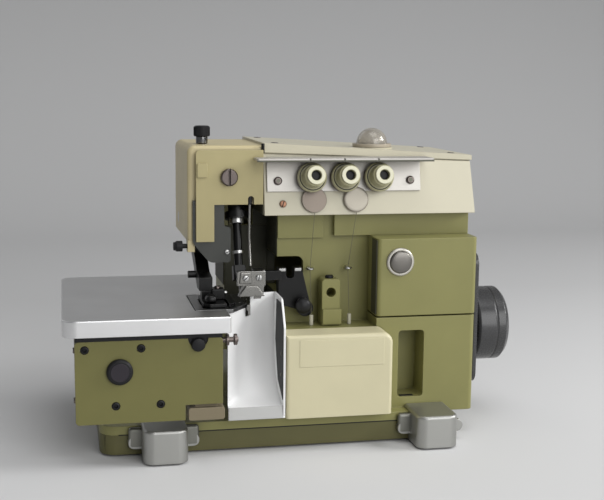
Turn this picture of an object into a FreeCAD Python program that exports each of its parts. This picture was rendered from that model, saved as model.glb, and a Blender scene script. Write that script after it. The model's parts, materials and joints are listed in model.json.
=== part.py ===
"""Overlock sewing machine with a swing-out cloth plate, built as separate pieces.

X runs to the right along the main shaft, Y away from the operator and Z up.
The origin lies on the floor at the centre of the four feet, below the main shaft.
All lengths are in millimetres and all angles in degrees.
"""
import FreeCAD, Part
import math
import os
import re

import Sketcher
from FreeCAD import Placement, Rotation, Vector

SIZES = {
    # Allowances used throughout
    "overrun": 1.0,
    "edge_break": 1.0,
    # Feet and oil pan
    "foot_spacing_x": 228.0,
    "foot_spacing_y": 184.0,
    "foot_radius": 18.0,
    "foot_corner": 9.0,
    "foot_edge": 2.6,
    "foot_offset": 5.5,
    "foot_ear": 11.0,
    "foot_ear_thick": 6.0,
    "foot_ear_round": 5.0,
    "foot_ear_low": 8.0,
    "foot_lift": 1.5,
    "foot_cap": 3.0,
    "foot_tongue": 6.0,
    "foot_bolt_radius": 4.25,
    "foot_bolt_depth": 20.0,
    "pad_radius": 10.5,
    "pad_height": 5.0,
    "pan_left": -160.0,
    "pan_right": 128.0,
    "pan_clearance": 0.5,
    "pan_bottom": 2.0,
    "pan_wall": 4.0,
    "pan_corner": 14.0,
    "flange_bottom": 18.5,
    "flange_top": 26.0,
    # Main casting
    "body_left": -45.0,
    "body_right": 164.5,
    "body_front": -67.5,
    "body_rear": 67.5,
    "body_bottom": 21.0,
    "casting_wall": 7.0,
    "casting_round": 5.0,
    "panel_front": -36.0,
    "bay_top": 98.0,
    "bay_left": 0.0,
    "casting_top": 193.5,
    "upper_left": -6.0,
    "column_front": 12.0,
    "window_margin": 8.0,
    "opening_right": 17.0,
    "opening_bottom": 124.0,
    "opening_top": 156.0,
    "opening_round": 6.0,
    "column_window_low": 178.0,
    "rib_gap": 1.0,
    "rib_thick": 6.0,
    "band_left": 43.0,
    "band_depth": 6.0,
    "raised_right": 34.0,
    "raised_bottom": 172.0,
    "raised_depth": 2.5,
    "grip_left": 95.0,
    "grip_right": 118.0,
    "grip_bottom": 35.0,
    "grip_top": 94.0,
    "grip_depth": 26.0,
    "grip_round": 3.0,
    # Side door and its push button
    "door_left": 75.0,
    "door_bottom": 107.0,
    "door_top": 174.0,
    "door_gap": 1.2,
    "door_wall": 3.0,
    "door_round": 4.0,
    "button_x": 95.0,
    "button_z": 154.0,
    "button_radius": 9.6,
    "button_proud": 2.6,
    "button_length": 14.0,
    "button_dome": 1.6,
    "button_flange": 2.0,
    "button_spring_radius": 6.6,
    "button_spring_turns": 5.0,
    "bezel_radius": 12.2,
    "bezel_proud": 2.0,
    # Main shaft and handwheel
    "shaft_height": 83.5,
    "shaft_radius": 8.0,
    "shaft_inset": 1.0,
    "bush_wall": 3.5,
    "crank_left": 20.0,
    "crank_web": 9.0,
    "crank_pin_length": 14.0,
    "crank_pin_radius": 5.0,
    "crank_throw": 10.0,
    "crank_radius": 19.0,
    "eccentric_left": 68.0,
    "eccentric_width": 10.0,
    "eccentric_radius": 12.0,
    "eccentric_throw": 3.0,
    "rod_wall": 5.0,
    "rod_width": 12.0,
    "rod_shank": 8.0,
    "wheel_radius": 34.0,
    "wheel_width": 30.0,
    "wheel_gap": 6.5,
    "wheel_hub_radius": 16.0,
    "wheel_hub_length": 6.0,
    "wheel_round": 4.0,
    "wheel_chamfer": 2.0,
    "wheel_groove": 1.0,
    "wheel_dish": 6.0,
    "guard_gap": 1.5,
    "guard_thick": 3.5,
    "guard_half_width": 60.0,
    "guard_bottom": 42.0,
    "guard_top": 158.0,
    "guard_round": 10.0,
    "guard_hole": 18.0,
    "guard_peg_radius": 5.0,
    "guard_peg_drop": 12.0,
    # Upper housing, lid and oil sight
    "housing_right": 166.5,
    "housing_front": -53.0,
    "housing_lean": 10.0,
    "housing_wall": 3.5,
    "housing_draft": 3.0,
    "housing_top_left": 245.0,
    "housing_top_right": 238.0,
    "gasket_thick": 1.0,
    "gasket_width": 6.0,
    "lid_thick_left": 8.0,
    "lid_thick_right": 4.5,
    "lid_overhang": 1.5,
    "lid_round": 1.6,
    "sight_x": 81.0,
    "sight_y": -20.0,
    "sight_boss_rise": 1.0,
    "sight_ring_radius": 17.0,
    "sight_ring_height": 3.0,
    "dome_radius": 13.5,
    "dome_wall": 2.0,
    # Head
    "head_left": -84.0,
    "head_right": -20.0,
    "head_front": -46.0,
    "head_rear": 53.0,
    "head_floor": 203.0,
    "head_top": 252.0,
    "head_round": 6.0,
    "cheek_right": -59.5,
    "cheek_floor": 172.0,
    "head_wall": 3.5,
    "cheek_round": 1.0,
    "guard_lug_depth": 10.0,
    "guard_lug_drop": 9.0,
    "face_left": -77.5,
    "face_right": -21.0,
    "face_thick": 3.0,
    "face_step": -62.3,
    "face_slot_x": -31.4,
    "face_slot_width": 5.0,
    "face_slot_top": 210.0,
    "face_screw_x": -50.0,
    "face_screw_z": 226.0,
    "face_screw_radius": 7.2,
    "face_screw_slot": 1.6,
    "face_lug_left": -76.5,
    "face_lug_width": 8.5,
    "face_lug_bottom": 226.0,
    "face_lug_height": 11.5,
    "face_lug_rise": 1.6,
    "face_lug_round": 1.2,
    "thumb_stem_radius": 2.0,
    "thumb_stem": 4.0,
    "thumb_radius": 4.5,
    "thumb_head": 5.0,
    "thumb_length": 11.5,
    "guard_plate": 2.5,
    "guard_plate_left": -80.0,
    "guard_plate_right": -48.0,
    "guard_plate_bottom": 154.0,
    "guard_plate_corner_x": -66.0,
    "guard_plate_corner": 8.0,
    "guard_notch_left": -53.5,
    "guard_notch_low": 184.0,
    "guard_notch_round": 2.5,
    # Needle drive
    "rocker_y": 24.0,
    "rocker_drop": 19.0,
    "rocker_radius": 6.0,
    "needle_x": -42.0,
    "needle_y": -63.0,
    "needle_lean": 18.0,
    "needle_bar_radius": 3.6,
    "needle_bar_low": 25.0,
    "needle_bar_length": 93.0,
    "needle_radius": 0.8,
    "needle_gap": 3.0,
    "needle_bush_start": 71.0,
    "needle_bush_length": 18.0,
    "needle_bush_radius": 7.0,
    "needle_bush_flange": 3.0,
    "needle_collar_start": 104.0,
    "needle_collar_length": 10.0,
    "needle_collar_radius": 6.5,
    "needle_clamp_height": 12.0,
    "needle_clamp_half": 5.2,
    "needle_clamp_round": 1.2,
    "fork_thick": 4.0,
    "fork_gap": 1.5,
    "fork_reach": 62.0,
    "rod_length": 106.0,
    # Bed: needle plate, feed dogs, knives and loopers
    "plate_top": 122.2,
    "plate_bottom": 109.0,
    "plate_left": -188.5,
    "plate_right": -57.5,
    "plate_front": -118.0,
    "plate_rear": 80.0,
    "plate_wall": 3.5,
    "plate_skin": 3.0,
    "plate_corner": 12.0,
    "plate_edge": 2.0,
    "plate_gap": 0.5,
    "notch_left": -83.0,
    "notch_front": -90.5,
    "notch_rear": -24.0,
    "hinge_x": -84.0,
    "hinge_y": 62.0,
    "hinge_pin_radius": 6.0,
    "hinge_boss_radius": 11.0,
    "running_gap": 0.05,
    "seat_gap": 0.3,
    "needle_plate_right": -38.0,
    "needle_plate_corner_x": -52.0,
    "needle_plate_corner_y": -69.0,
    "notch_slant": 4.4,
    "feed_bar_height": 3.2,
    "feed_bar_width": 3.0,
    "feed_bar_apart": 2.0,
    "feed_bar_gap": 0.4,
    "feed_bar_rear": -34.0,
    "feed_proud": 0.6,
    "feed_lane": 2.6,
    "feed_left": -75.0,
    "feed_right": -56.0,
    "feed_front": -64.0,
    "feed_length": 18.0,
    "feed_second_front": -81.0,
    "feed_second_length": 8.0,
    "feed_travel": 2.5,
    "feed_tooth": 2.0,
    "feed_tooth_height": 1.3,
    "bed_arm_left": -82.0,
    "bed_arm_right": -56.0,
    "bed_arm_front": -85.0,
    "bed_arm_rear": 20.0,
    "bed_arm_bottom": 88.0,
    "bed_arm_top": 108.0,
    "lower_looper_x": -24.0,
    "lower_looper_z": 62.0,
    "lower_looper_reach": 22.0,
    "lower_looper_rise": 42.0,
    "upper_looper_x": -14.0,
    "upper_looper_z": 84.0,
    "upper_looper_reach": 24.5,
    "upper_looper_rise": 21.5,
    "looper_shaft_radius": 4.5,
    "looper_hub_radius": 8.0,
    "looper_hub_front": -48.0,
    "looper_blade": 3.0,
    "looper_root": 4.5,
    "looper_tip": 1.5,
    "looper_curve": 9.0,
    "knife_x": 17.0,
    "knife_z": 112.0,
    "knife_shaft_radius": 5.0,
    "knife_hub_radius": 7.0,
    "knife_hub_front": -47.0,
    "knife_front": -54.0,
    "knife_rear": -44.0,
    "knife_arm_left": -8.0,
    "knife_arm_right": 12.0,
    "knife_arm_top": 149.0,
    "knife_shaft_over": 2.0,
    "knife_foot": 9.0,
    "knife_heel": 2.5,
    "knife_foot_rise": 6.0,
    "knife_prong": 6.5,
    "knife_notch": 9.0,
    "knife_notch_round": 3.0,
    "knife_link_proud": 2.0,
    "knife_link_height": 8.0,
    "knife_knob_radius": 4.5,
    "knife_knob_proud": 6.0,
    "knife_knob_side": 4.0,
    "blade_left": -31.5,
    "blade_right": -22.5,
    "blade_bottom": 126.0,
    "blade_taper": 3.0,
    "shield_left": -46.0,
    "shield_step": 1.6,
    "shield_depth": 12.0,
    "shield_skirt": 9.0,
    "shield_thick": 5.0,
    "blade_block_low": 136.0,
    "blade_block_high": 150.0,
    "lower_blade_left": -36.8,
    "lower_blade_thick": 1.8,
    "lower_blade_height": 6.0,
    "lower_blade_lead": 4.0,
    "lower_blade_run": 6.0,
    "lower_tip": 2.0,
    "lower_margin": 0.4,
    "lower_foot_side": 3.0,
    "lower_foot_width": 8.0,
    "lower_foot_depth": 10.0,
    "blade_front": -68.0,
    "blade_thick": 2.5,
    # Presser arm and pressure screw
    "presser_y": 30.0,
    "presser_z": 184.0,
    "presser_shaft_radius": 5.0,
    "presser_hub_radius": 9.0,
    "presser_left": -76.5,
    "presser_right": -65.5,
    "presser_reach": 94.0,
    "presser_knee": 38.0,
    "presser_knee_drop": 12.0,
    "presser_bend": 76.0,
    "presser_bend_drop": 38.0,
    "presser_nose": 2.0,
    "presser_depth": 17.0,
    "presser_round": 4.0,
    "presser_pin_radius": 3.0,
    "presser_pin_length": 7.0,
    "presser_pin_drop": 40.5,
    "spring_seat_radius": 5.4,
    "spring_seat_drop": 16.0,
    "spring_seat_height": 10.0,
    "sole_left": -75.0,
    "sole_right": -48.5,
    "sole_front": -84.0,
    "sole_rear": -44.0,
    "sole_gap": 0.4,
    "sole_thick": 3.0,
    "sole_heel": 7.5,
    "sole_corner": 5.0,
    "sole_shank": 10.0,
    "sole_slot": 2.0,
    "sole_slot_inset": 8.0,
    "sole_slot_end": 12.0,
    "screw_x": -69.0,
    "screw_y": -22.0,
    "screw_head_radius": 6.6,
    "screw_head_height": 9.0,
    "screw_shank_radius": 2.6,
    "screw_neck": 6.5,
    "screw_collar": 2.0,
    "screw_length": 22.0,
    "spring_radius": 4.2,
    "spring_wire": 1.3,
    "spring_turns": 7.0,
    # Swinging skirt under the cloth plate
    "skirt_left": -179.0,
    "skirt_right": -63.5,
    "skirt_front": -112.0,
    "skirt_thick": 3.0,
    "skirt_bottom": 38.0,
    "skirt_top": 104.5,
    "skirt_step_x": -93.5,
    "skirt_step_z": 50.5,
    "skirt_hole_radius": 3.4,
    "skirt_hole_first": 7.6,
    "skirt_hole_second": 31.0,
    "skirt_hole_third": 51.0,
    "skirt_hole_fourth": 66.0,
    "skirt_hole_drop": 6.5,
    "skirt_hole_rise": 14.3,
    "skirt_wing_rise": 22.0,
    "skirt_return": 40.0,
    "plug_x": -144.7,
    "plug_z": 80.0,
    "plug_radius": 10.3,
    "plug_proud": 4.0,
    "plug_lip": 1.5,
    "skirt_tab": 15.0,
    "skirt_tab_first": 15.0,
    "skirt_tab_second": 60.0,
    "skirt_notch_x": -83.2,
    "skirt_notch_radius": 8.0,
    "latch_thick": 10.0,
    "latch_gap": 2.5,
    "latch_over": 1.5,
    "latch_room": 3.0,
    "latch_round": 2.0,
    "tongue_inset": 8.0,
    "tongue_thick": 4.0,
    "tongue_rise": 10.0,
    "catch_half": 3.0,
    "catch_drop": 3.5,
    "catch_lug": 8.0,
    "catch_reach": 13.0,
    "catch_stem_radius": 2.2,
    "catch_ring_radius": 4.6,
    "catch_ring_width": 2.5,
    "catch_ring_pitch": 6.5,
    # Waste chute and looper cover
    "chute_left": -56.8,
    "chute_right": -9.8,
    "chute_wall": 1.6,
    "chute_floor": 41.0,
    "chute_lip": 10.0,
    "chute_top": 128.5,
    "chute_front": -97.0,
    "chute_lip_lean": 2.0,
    "chute_left_y": -92.0,
    "chute_bend_x": -24.0,
    "chute_bend_y": -57.0,
    "chute_right_y": -53.0,
    "chute_slot_depth": 8.0,
    "fin_bottom": 33.0,
    "fin_rear_low": 56.0,
    "fin_rear_high": 60.0,
    "fin_top_y": -84.0,
    "fin_front_top": 107.5,
    "fin_round": 4.0,
    "cover_left": -8.5,
    "cover_right": 82.5,
    "cover_front": -95.0,
    "cover_bottom": 29.0,
    "cover_top": 99.0,
    "cover_wall": 2.5,
    "cover_gap": 1.2,
    "cover_ear": 4.0,
    "cover_ear_half": 3.2,
    "cover_ear_inset": 10.0,
    "cover_round": 3.5,
    "cover_corner": 9.0,
    "cover_pin_y": -90.0,
    "cover_pin_z": 33.0,
    "cover_pin_radius": 1.5,
    "hinge_inset": 1.0,
    "hinge_arm": 6.0,
    "hinge_eye_radius": 2.2,
    # Tension unit
    "bracket_left": -17.5,
    "bracket_right": 116.8,
    "bracket_bottom": 213.5,
    "bracket_sheet": 2.0,
    "bracket_height": 29.0,
    "bracket_screw_inset": 9.2,
    "bracket_screw_rise": 8.5,
    "bracket_screw_radius": 1.75,
    "bracket_screw_height": 2.4,
    "lip_left": -29.5,
    "lip_right": 122.4,
    "lip_reach": 26.0,
    "lip_margin": 1.0,
    "lip_slit": 1.2,
    "lip_slit_depth": 7.0,
    "lip_slit_offset": 5.0,
    "tension_first_x": 19.6,
    "tension_pitch": 29.2,
    "tension_z": 224.0,
    "tension_post_radius": 3.0,
    "tension_flange_radius": 12.5,
    "tension_sleeve_radius": 9.0,
    "tension_ring_radius": 7.8,
    "tension_eye_radius": 4.2,
    "tension_length": 27.0,
    "tension_stand": 6.0,
    "tension_flange_thick": 4.0,
    "tension_shoulder": 3.0,
    "tension_step": 0.5,
    "tension_eye_depth": 6.0,
    "tension_cap": 9.0,
    "tension_coil_turns": 4.0,
    "tension_disc_radius": 12.0,
    "tension_disc_thick": 1.2,
    "tension_coil_radius": 5.5,
    "tension_coil_wire": 1.0,
    # Thread guides
    "eyelet_z": 146.0,
    "eyelet_stand": 8.0,
    "eyelet_radius": 2.6,
    "eyelet_wire": 0.9,
    "thread_left_x": 21.5,
    "thread_right_x": 55.0,
    "thread_radius": 0.25,
    "thread_tube_y": -51.0,
    "thread_tube_height": 9.0,
    "thread_tube_radius": 1.7,
    "pretension_z": 206.0,
    "pretension_radius": 10.8,
    "pretension_stand": 2.1,
    "pretension_dish": 0.2,
    "pretension_thick": 0.6,
    "pretension_left_x": 22.5,
    "pretension_right_x": 59.0,
    "guide_left": 29.5,
    "guide_right": 45.5,
    "guide_front": -56.0,
    "guide_depth": 16.0,
    "guide_top": 138.5,
    "guide_hole_radius": 4.0,
    "guide_hole_drop": 11.5,
    "guide_round": 3.0,
}

doc = FreeCAD.newDocument("overlock_machine")
sheet = doc.addObject("Spreadsheet::Sheet", "Sizes")
for row, (alias, value) in enumerate(SIZES.items(), start=1):
    sheet.set(f"A{row}", alias)
    sheet.set(f"B{row}", str(value))
    sheet.setAlias(f"B{row}", alias)
doc.recompute()

TURNED_TO = {"x": Rotation(Vector(0, 1, 0), 90), "y": Rotation(Vector(1, 0, 0), -90), "z": Rotation()}
PAN_EDGE = "(foot_spacing_y / 2 - pad_radius - pan_clearance)"
ROCKER_Z = "(housing_top_left - rocker_drop)"
SOLE_HEEL = "plate_top + sole_gap + sole_thick + sole_heel"
SMALL_DISC_XS = ("pretension_left_x", "pretension_right_x")
EYELET_Y = "(panel_front - eyelet_stand)"
DISC_THREAD = "pretension_stand + pretension_dish + pretension_thick / 2"
PLANES = {"xy": ("XY_Plane", "z"), "xz": ("XZ_Plane", "y"), "yz": ("YZ_Plane", "x")}
NODES = []


def formula(text):
    """Write the names of sizes in an expression as references to the sheet."""
    return re.sub(r"[a-z][a-z_0-9]*", lambda word: "Sizes." + word.group(), text)


def size(text):
    """Work out an expression of sizes as a number."""
    return float(sheet.evalExpression(formula(text)))


def node(piece, name):
    """Keep a finished piece as a node of the machine under its own name."""
    piece.Label = name
    NODES.append(piece)
    return piece


def block(name, x_span, y_span, z_span):
    """Make a rectangular block between the given limits."""
    box = doc.addObject("Part::Box", name)
    spans = zip(("Length", "Width", "Height"), "xyz", (x_span, y_span, z_span))
    for length, axis, (low, high) in spans:
        box.setExpression(length, formula(f"({high}) - ({low})"))
        box.setExpression(f"Placement.Base.{axis}", formula(low))
    return box


def rod(name, axis, radius, span, at):
    """Make a round bar along an axis, through the two other coordinates given by at."""
    bar = doc.addObject("Part::Cylinder", name)
    bar.Placement = Placement(Vector(), TURNED_TO[axis])
    bar.setExpression("Radius", formula(radius))
    bar.setExpression("Height", formula(f"({span[1]}) - ({span[0]})"))
    across = [letter for letter in "xyz" if letter != axis]
    for letter, text in zip([axis] + across, [span[0], *at]):
        bar.setExpression(f"Placement.Base.{letter}", formula(text))
    return bar


def fuse(name, pieces):
    """Join overlapping pieces into one solid."""
    joined = doc.addObject("Part::MultiFuse", name)
    joined.Shapes = pieces
    joined.Refine = True
    return joined


def cut(name, base, tools):
    """Cut the tools out of the base."""
    result = doc.addObject("Part::Cut", name)
    result.Base = base
    result.Tool = tools[0] if len(tools) == 1 else fuse(name + "_cuts", tools)
    result.Refine = True
    return result


def group(name, pieces):
    """Keep separate solids together as one node."""
    gathered = doc.addObject("Part::Compound", name)
    gathered.Links = pieces
    return gathered


def along(axis, *places):
    """Choose straight edges along an axis, through the given other two coordinates if any."""
    points = [tuple(size(text) for text in place) for place in places]

    def chosen(edge):
        if not isinstance(edge.Curve, Part.Line):
            return False
        ends = [vertex.Point for vertex in edge.Vertexes]
        step = ends[1] - ends[0]
        if abs(getattr(step, axis)) < 0.999 * step.Length:
            return False
        across = tuple(getattr(ends[0], letter) for letter in "xyz" if letter != axis)
        near = (math.dist(across, point) < 0.01 for point in points)
        return not points or any(near)

    return chosen


def flat_at(height):
    """Choose the edges that lie in a level plane."""
    level = size(height)

    def chosen(edge):
        return all(abs(vertex.Z - level) < 0.01 for vertex in edge.Vertexes)

    return chosen


def beyond(chosen, limit):
    """Leave out of a choice the edges that lie along a limit in Y."""
    level = size(limit)

    def outside(edge):
        return chosen(edge) and any(abs(vertex.Y - level) > 0.01 for vertex in edge.Vertexes)

    return outside


def rounded(name, base, radius, chosen):
    """Round the chosen edges of a piece."""
    doc.recompute()
    reach = size(radius)
    result = doc.addObject("Part::Fillet", name)
    result.Base = base
    numbers = (n for n, edge in enumerate(base.Shape.Edges, start=1) if chosen(edge))
    result.Edges = [(number, reach, reach) for number in numbers]
    return result


def draw(body, name, plane, offset, outline, holes=()):
    """Draw a closed outline, and round holes in it, on one of the body's own planes."""
    sketch = body.newObject("Sketcher::SketchObject", name)
    support = next(flat for flat in body.Origin.OriginFeatures if flat.Role == plane)
    sketch.AttachmentSupport = [(support, "")]
    sketch.MapMode = "FlatFace"
    sketch.setExpression("AttachmentOffset.Base.z", formula(offset))
    corners = [Vector(size(u), size(v), 0) for u, v in outline]
    count = len(corners)
    for index, corner in enumerate(corners):
        sketch.addGeometry(Part.LineSegment(corner, corners[(index + 1) % count]), False)
    for index in range(count):
        sketch.addConstraint(Sketcher.Constraint("Coincident", index, 2, (index + 1) % count, 1))
    for index, place in enumerate(outline):
        pin_point(sketch, index, 1, place)
    for u, v, radius in holes:
        circle = Part.Circle(Vector(size(u), size(v), 0), Vector(0, 0, 1), size(radius))
        ring = sketch.addGeometry(circle, False)
        pin_point(sketch, ring, 3, (u, v))
        reach = sketch.addConstraint(Sketcher.Constraint("Radius", ring, size(radius)))
        sketch.setExpression(f"Constraints[{reach}]", formula(radius))
    return sketch


def pin_point(sketch, geometry, end, place):
    """Tie a point of a sketch to expressions for its two coordinates."""
    for kind, axis_line, text in zip(("DistanceX", "DistanceY"), (-2, -1), place):
        if text == "0":
            sketch.addConstraint(Sketcher.Constraint("PointOnObject", geometry, end, axis_line))
            continue
        tie = Sketcher.Constraint(kind, -1, 1, geometry, end, size(text))
        sketch.setExpression(f"Constraints[{sketch.addConstraint(tie)}]", formula(text))


def prism(name, plane, outline, span, rounds=(), holes=()):
    """Extrude an outline between two limits and round the listed corners."""
    body = doc.addObject("PartDesign::Body", name)
    role, axis = PLANES[plane]
    offset = f"-({span[1]})" if plane == "xz" else span[0]
    sketch = draw(body, name + "_outline", role, offset, outline, holes)
    pad = body.newObject("PartDesign::Pad", name + "_pad")
    pad.Profile = sketch
    pad.setExpression("Length", formula(f"({span[1]}) - ({span[0]})"))
    doc.recompute()
    for number, (radius, indexes) in enumerate(rounds):
        chosen = along(axis, *(outline[index] for index in indexes))
        last = body.Tip
        names = [f"Edge{n}" for n, edge in enumerate(last.Shape.Edges, start=1) if chosen(edge)]
        fillet = body.newObject("PartDesign::Fillet", f"{name}_round_{number}")
        fillet.Base = (last, names)
        fillet.setExpression("Radius", formula(radius))
        doc.recompute()
    return body


def turned(name, profile, at, direction):
    """Revolve a profile of radius and height, and stand it at a place along a direction."""
    body = doc.addObject("PartDesign::Body", name)
    sketch = draw(body, name + "_profile", "XZ_Plane", "0", profile)
    spin = body.newObject("PartDesign::Revolution", name + "_turn")
    spin.Profile = sketch
    spin.ReferenceAxis = (sketch, ["V_Axis"])
    spin.Angle = 360
    body.Placement = Placement(Vector(), Rotation(Vector(0, 0, 1), Vector(*direction)))
    for letter, text in zip("xyz", at):
        body.setExpression(f"Placement.Base.{letter}", formula(text))
    return body


def between(low, high):
    """Give the two limits of a span."""
    return (low, high)


def base():
    """Make the oil pan, the four foot cups that carry it and their rubber pads."""
    tray = block(
        "pan_tray", between("pan_left", "pan_right"), between(f"-{PAN_EDGE}", PAN_EDGE),
        between("pan_bottom", "flange_bottom"),
    )
    tray = rounded("pan_rounded", tray, "pan_corner", along("z"))
    hollow = block(
        "pan_hollow",
        between("pan_left + pan_wall", "pan_right - pan_wall"),
        between(f"-{PAN_EDGE} + pan_wall", f"{PAN_EDGE} - pan_wall"),
        between("pan_bottom + pan_wall", "flange_bottom + overrun"),
    )
    node(cut("base_pan", tray, [hollow]), "base_pan")

    cups = []
    pads = []
    for x_sign in (-1, 1):
        for y_sign in (-1, 1):
            tag = f"{'left' if x_sign < 0 else 'right'}_{'front' if y_sign < 0 else 'rear'}"
            bolt = (f"{x_sign} * foot_spacing_x / 2", f"{y_sign} * foot_spacing_y / 2")
            cups.append(foot_cup(tag, bolt, y_sign))
            disc = rod(f"pad_disc_{tag}", "z", "pad_radius", between("0", "pad_height"), bolt)
            eye_span = between("-overrun", "pad_height + overrun")
            eye = rod(f"pad_eye_{tag}", "z", "foot_bolt_radius", eye_span, bolt)
            pads.append(cut(f"foot_pad_{tag}", disc, [eye]))
    node(group("foot_cups", cups), "foot_cups")
    node(group("foot_pads", pads), "foot_pads")


def foot_cup(tag, bolt, y_sign):
    """Make one foot: a rounded block with two ears along the pan and a tongue over its flange."""
    middle = f"{bolt[0]} + foot_offset"
    outside = f"{y_sign} * (foot_spacing_y / 2 + foot_radius)"
    inside = "body_front" if y_sign < 0 else f"{PAN_EDGE} - foot_tongue"
    top = "flange_top + foot_cap"
    plan = [
        (f"{middle} - foot_radius", inside),
        (f"{middle} + foot_radius", inside),
        (f"{middle} + foot_radius", outside),
        (f"{middle} - foot_radius", outside),
    ]
    corners = [("foot_corner", [2, 3])]
    cup = prism(f"foot_solid_{tag}", "xy", plan, between("foot_lift", top), rounds=corners)
    cup = rounded(f"foot_soft_{tag}", cup, "foot_edge", beyond(flat_at(top), inside))
    reach = sorted((f"{y_sign} * {PAN_EDGE}", f"{y_sign} * ({PAN_EDGE} + foot_ear_thick)"), key=size)
    sides = between(f"{middle} - foot_radius - foot_ear", f"{middle} + foot_radius + foot_ear")
    ears = block(f"foot_ears_{tag}", sides, reach, between("foot_ear_low", "flange_bottom"))
    ears = rounded(f"foot_ears_soft_{tag}", ears, "foot_ear_round", along("y"))
    below = between("foot_lift - overrun", "foot_bolt_depth")
    bore = rod(f"foot_bore_{tag}", "z", "foot_bolt_radius", below, bolt)
    seat = between("foot_lift - overrun", "pad_height")
    socket = rod(f"foot_socket_{tag}", "z", "pad_radius", seat, bolt)
    pan_room = block(
        f"foot_room_{tag}", between("pan_left - foot_radius", "pan_right + foot_radius"),
        between(f"-{PAN_EDGE}", PAN_EDGE), between("foot_lift - overrun", "flange_top"),
    )
    return cut(f"foot_cup_{tag}", fuse(f"foot_joined_{tag}", [cup, ears]), [bore, socket, pan_room])


def casting():
    """Make the main frame: flange, hollow body, looper bay, rear column and bed arm."""
    depth = between("panel_front", "body_rear")
    flange = block(
        "flange", between("pan_left", "pan_right"), between(f"-{PAN_EDGE}", PAN_EDGE),
        between("flange_bottom", "flange_top"),
    )
    flange = rounded("flange_rounded", flange, "pan_corner", along("z"))
    lower = block(
        "lower_body", between("body_left", "body_right"), depth, between("body_bottom", "bay_top"),
    )
    upper = block(
        "upper_body", between("upper_left", "body_right"), depth, between("body_bottom", "casting_top"),
    )
    column = block(
        "column", between("body_left", "head_right"), between("column_front", "body_rear"),
        between("bay_top", "head_floor"),
    )
    column_back = block(
        "column_back", between("head_right", "upper_left"), between("column_front", "body_rear"),
        between("bay_top", "casting_top"),
    )
    right = block(
        "front_right", between("door_left", "body_right"), between("body_front", "panel_front"),
        between("body_bottom", "door_bottom - door_gap"),
    )
    wall = block(
        "bay_wall", between("bay_left", "door_left"), between("body_front", "body_front + casting_wall"),
        between("flange_bottom", "bay_top"),
    )
    ledge = block(
        "bay_ledge", between("upper_left", "door_left"), between("body_front", "panel_front"),
        between("bay_top - casting_wall", "bay_top"),
    )
    band = block(
        "band", between("band_left", "body_right"), between("panel_front - band_depth", "panel_front"),
        between("door_top", "casting_top"),
    )
    raised = block(
        "raised_panel", between("upper_left", "raised_right"),
        between("panel_front - raised_depth", "panel_front"),
        between("raised_bottom", "casting_top"),
    )
    arm = block(
        "bed_arm", between("bed_arm_left", "bed_arm_right"), between("bed_arm_front", "bed_arm_rear"),
        between("bed_arm_bottom", "bed_arm_top"),
    )
    neck = block(
        "bed_neck", between("bed_arm_right", "body_left"),
        between("panel_front + casting_wall", "bed_arm_rear"),
        between("bed_arm_bottom", "bay_top"),
    )
    rib_top = "plate_top - plate_skin"
    side_rib = block(
        "side_rib", between("bed_arm_left", "feed_left - feed_travel"),
        between("bed_arm_front", "notch_rear - rib_gap"),
        between("bed_arm_top", rib_top),
    )
    rear_rib = block(
        "rear_rib", between("bed_arm_left", "bed_arm_right"),
        between("notch_rear - rib_gap - rib_thick", "notch_rear - rib_gap"),
        between("bed_arm_top", rib_top),
    )
    solid = fuse(
        "casting_solid",
        [
            flange, lower, upper, column, column_back, right, wall, ledge,
            band, raised, arm, neck, side_rib, rear_rib,
        ],
    )
    inner_y = between("panel_front + casting_wall", "body_rear - casting_wall")
    lower_hollow = block(
        "lower_hollow", between("body_left + casting_wall", "body_right - casting_wall"), inner_y,
        between("flange_bottom - overrun", "bay_top - casting_wall"),
    )
    upper_hollow = block(
        "upper_hollow", between("upper_left + casting_wall", "body_right - casting_wall"), inner_y,
        between("bay_top - 2 * casting_wall", "casting_top + overrun"),
    )
    opening = block(
        "knife_opening", between("upper_left - overrun", "opening_right"),
        between("panel_front - overrun", "column_front"),
        between("opening_bottom", "opening_top"),
    )
    opening = rounded(
        "knife_opening_rounded", opening, "opening_round",
        along("y", ("opening_right", "opening_top"), ("opening_right", "opening_bottom")),
    )
    grip = block(
        "grip_pocket", between("grip_left", "grip_right"),
        between("body_front - overrun", "body_front + grip_depth"),
        between("grip_bottom", "grip_top"),
    )
    grip = rounded("grip_rounded", grip, "grip_round", along("y"))
    recess = block(
        "column_window", between("body_left + casting_wall / 2", "head_right"),
        between("column_front - overrun", "body_rear - casting_wall"),
        between("column_window_low", "head_floor - casting_wall"),
    )
    window = block(
        "bay_window", between("bay_left + window_margin", "door_left - window_margin"),
        between("body_front - overrun", "body_front + casting_wall + overrun"),
        between("flange_top + window_margin", "bay_top - casting_wall - window_margin / 2"),
    )
    bore_radius = "shaft_radius + bush_wall"
    bores = [
        rod(
            "shaft_bore", "x", bore_radius, between("body_left - overrun", "body_right + overrun"),
            ("0", "shaft_height"),
        ),
        rod(
            "lower_looper_bore", "y", "looper_shaft_radius + running_gap",
            between("panel_front - overrun", "panel_front + casting_wall + overrun"),
            ("lower_looper_x", "lower_looper_z"),
        ),
        rod(
            "upper_looper_bore", "y", "looper_shaft_radius + running_gap",
            between("panel_front - overrun", "panel_front + casting_wall + overrun"),
            ("upper_looper_x", "upper_looper_z"),
        ),
        rod(
            "knife_bore", "y", "knife_shaft_radius + running_gap",
            between("panel_front - overrun", "panel_front + casting_wall + overrun"),
            ("knife_x", "knife_z"),
        ),
    ]
    frame = cut("casting_cut", solid, [lower_hollow, upper_hollow, opening, grip, recess, window, *bores])
    corners = along("z", ("body_right", "body_rear"), ("body_right", "body_front"))
    node(rounded("frame_casting", frame, "casting_round", corners), "frame_casting")


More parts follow.
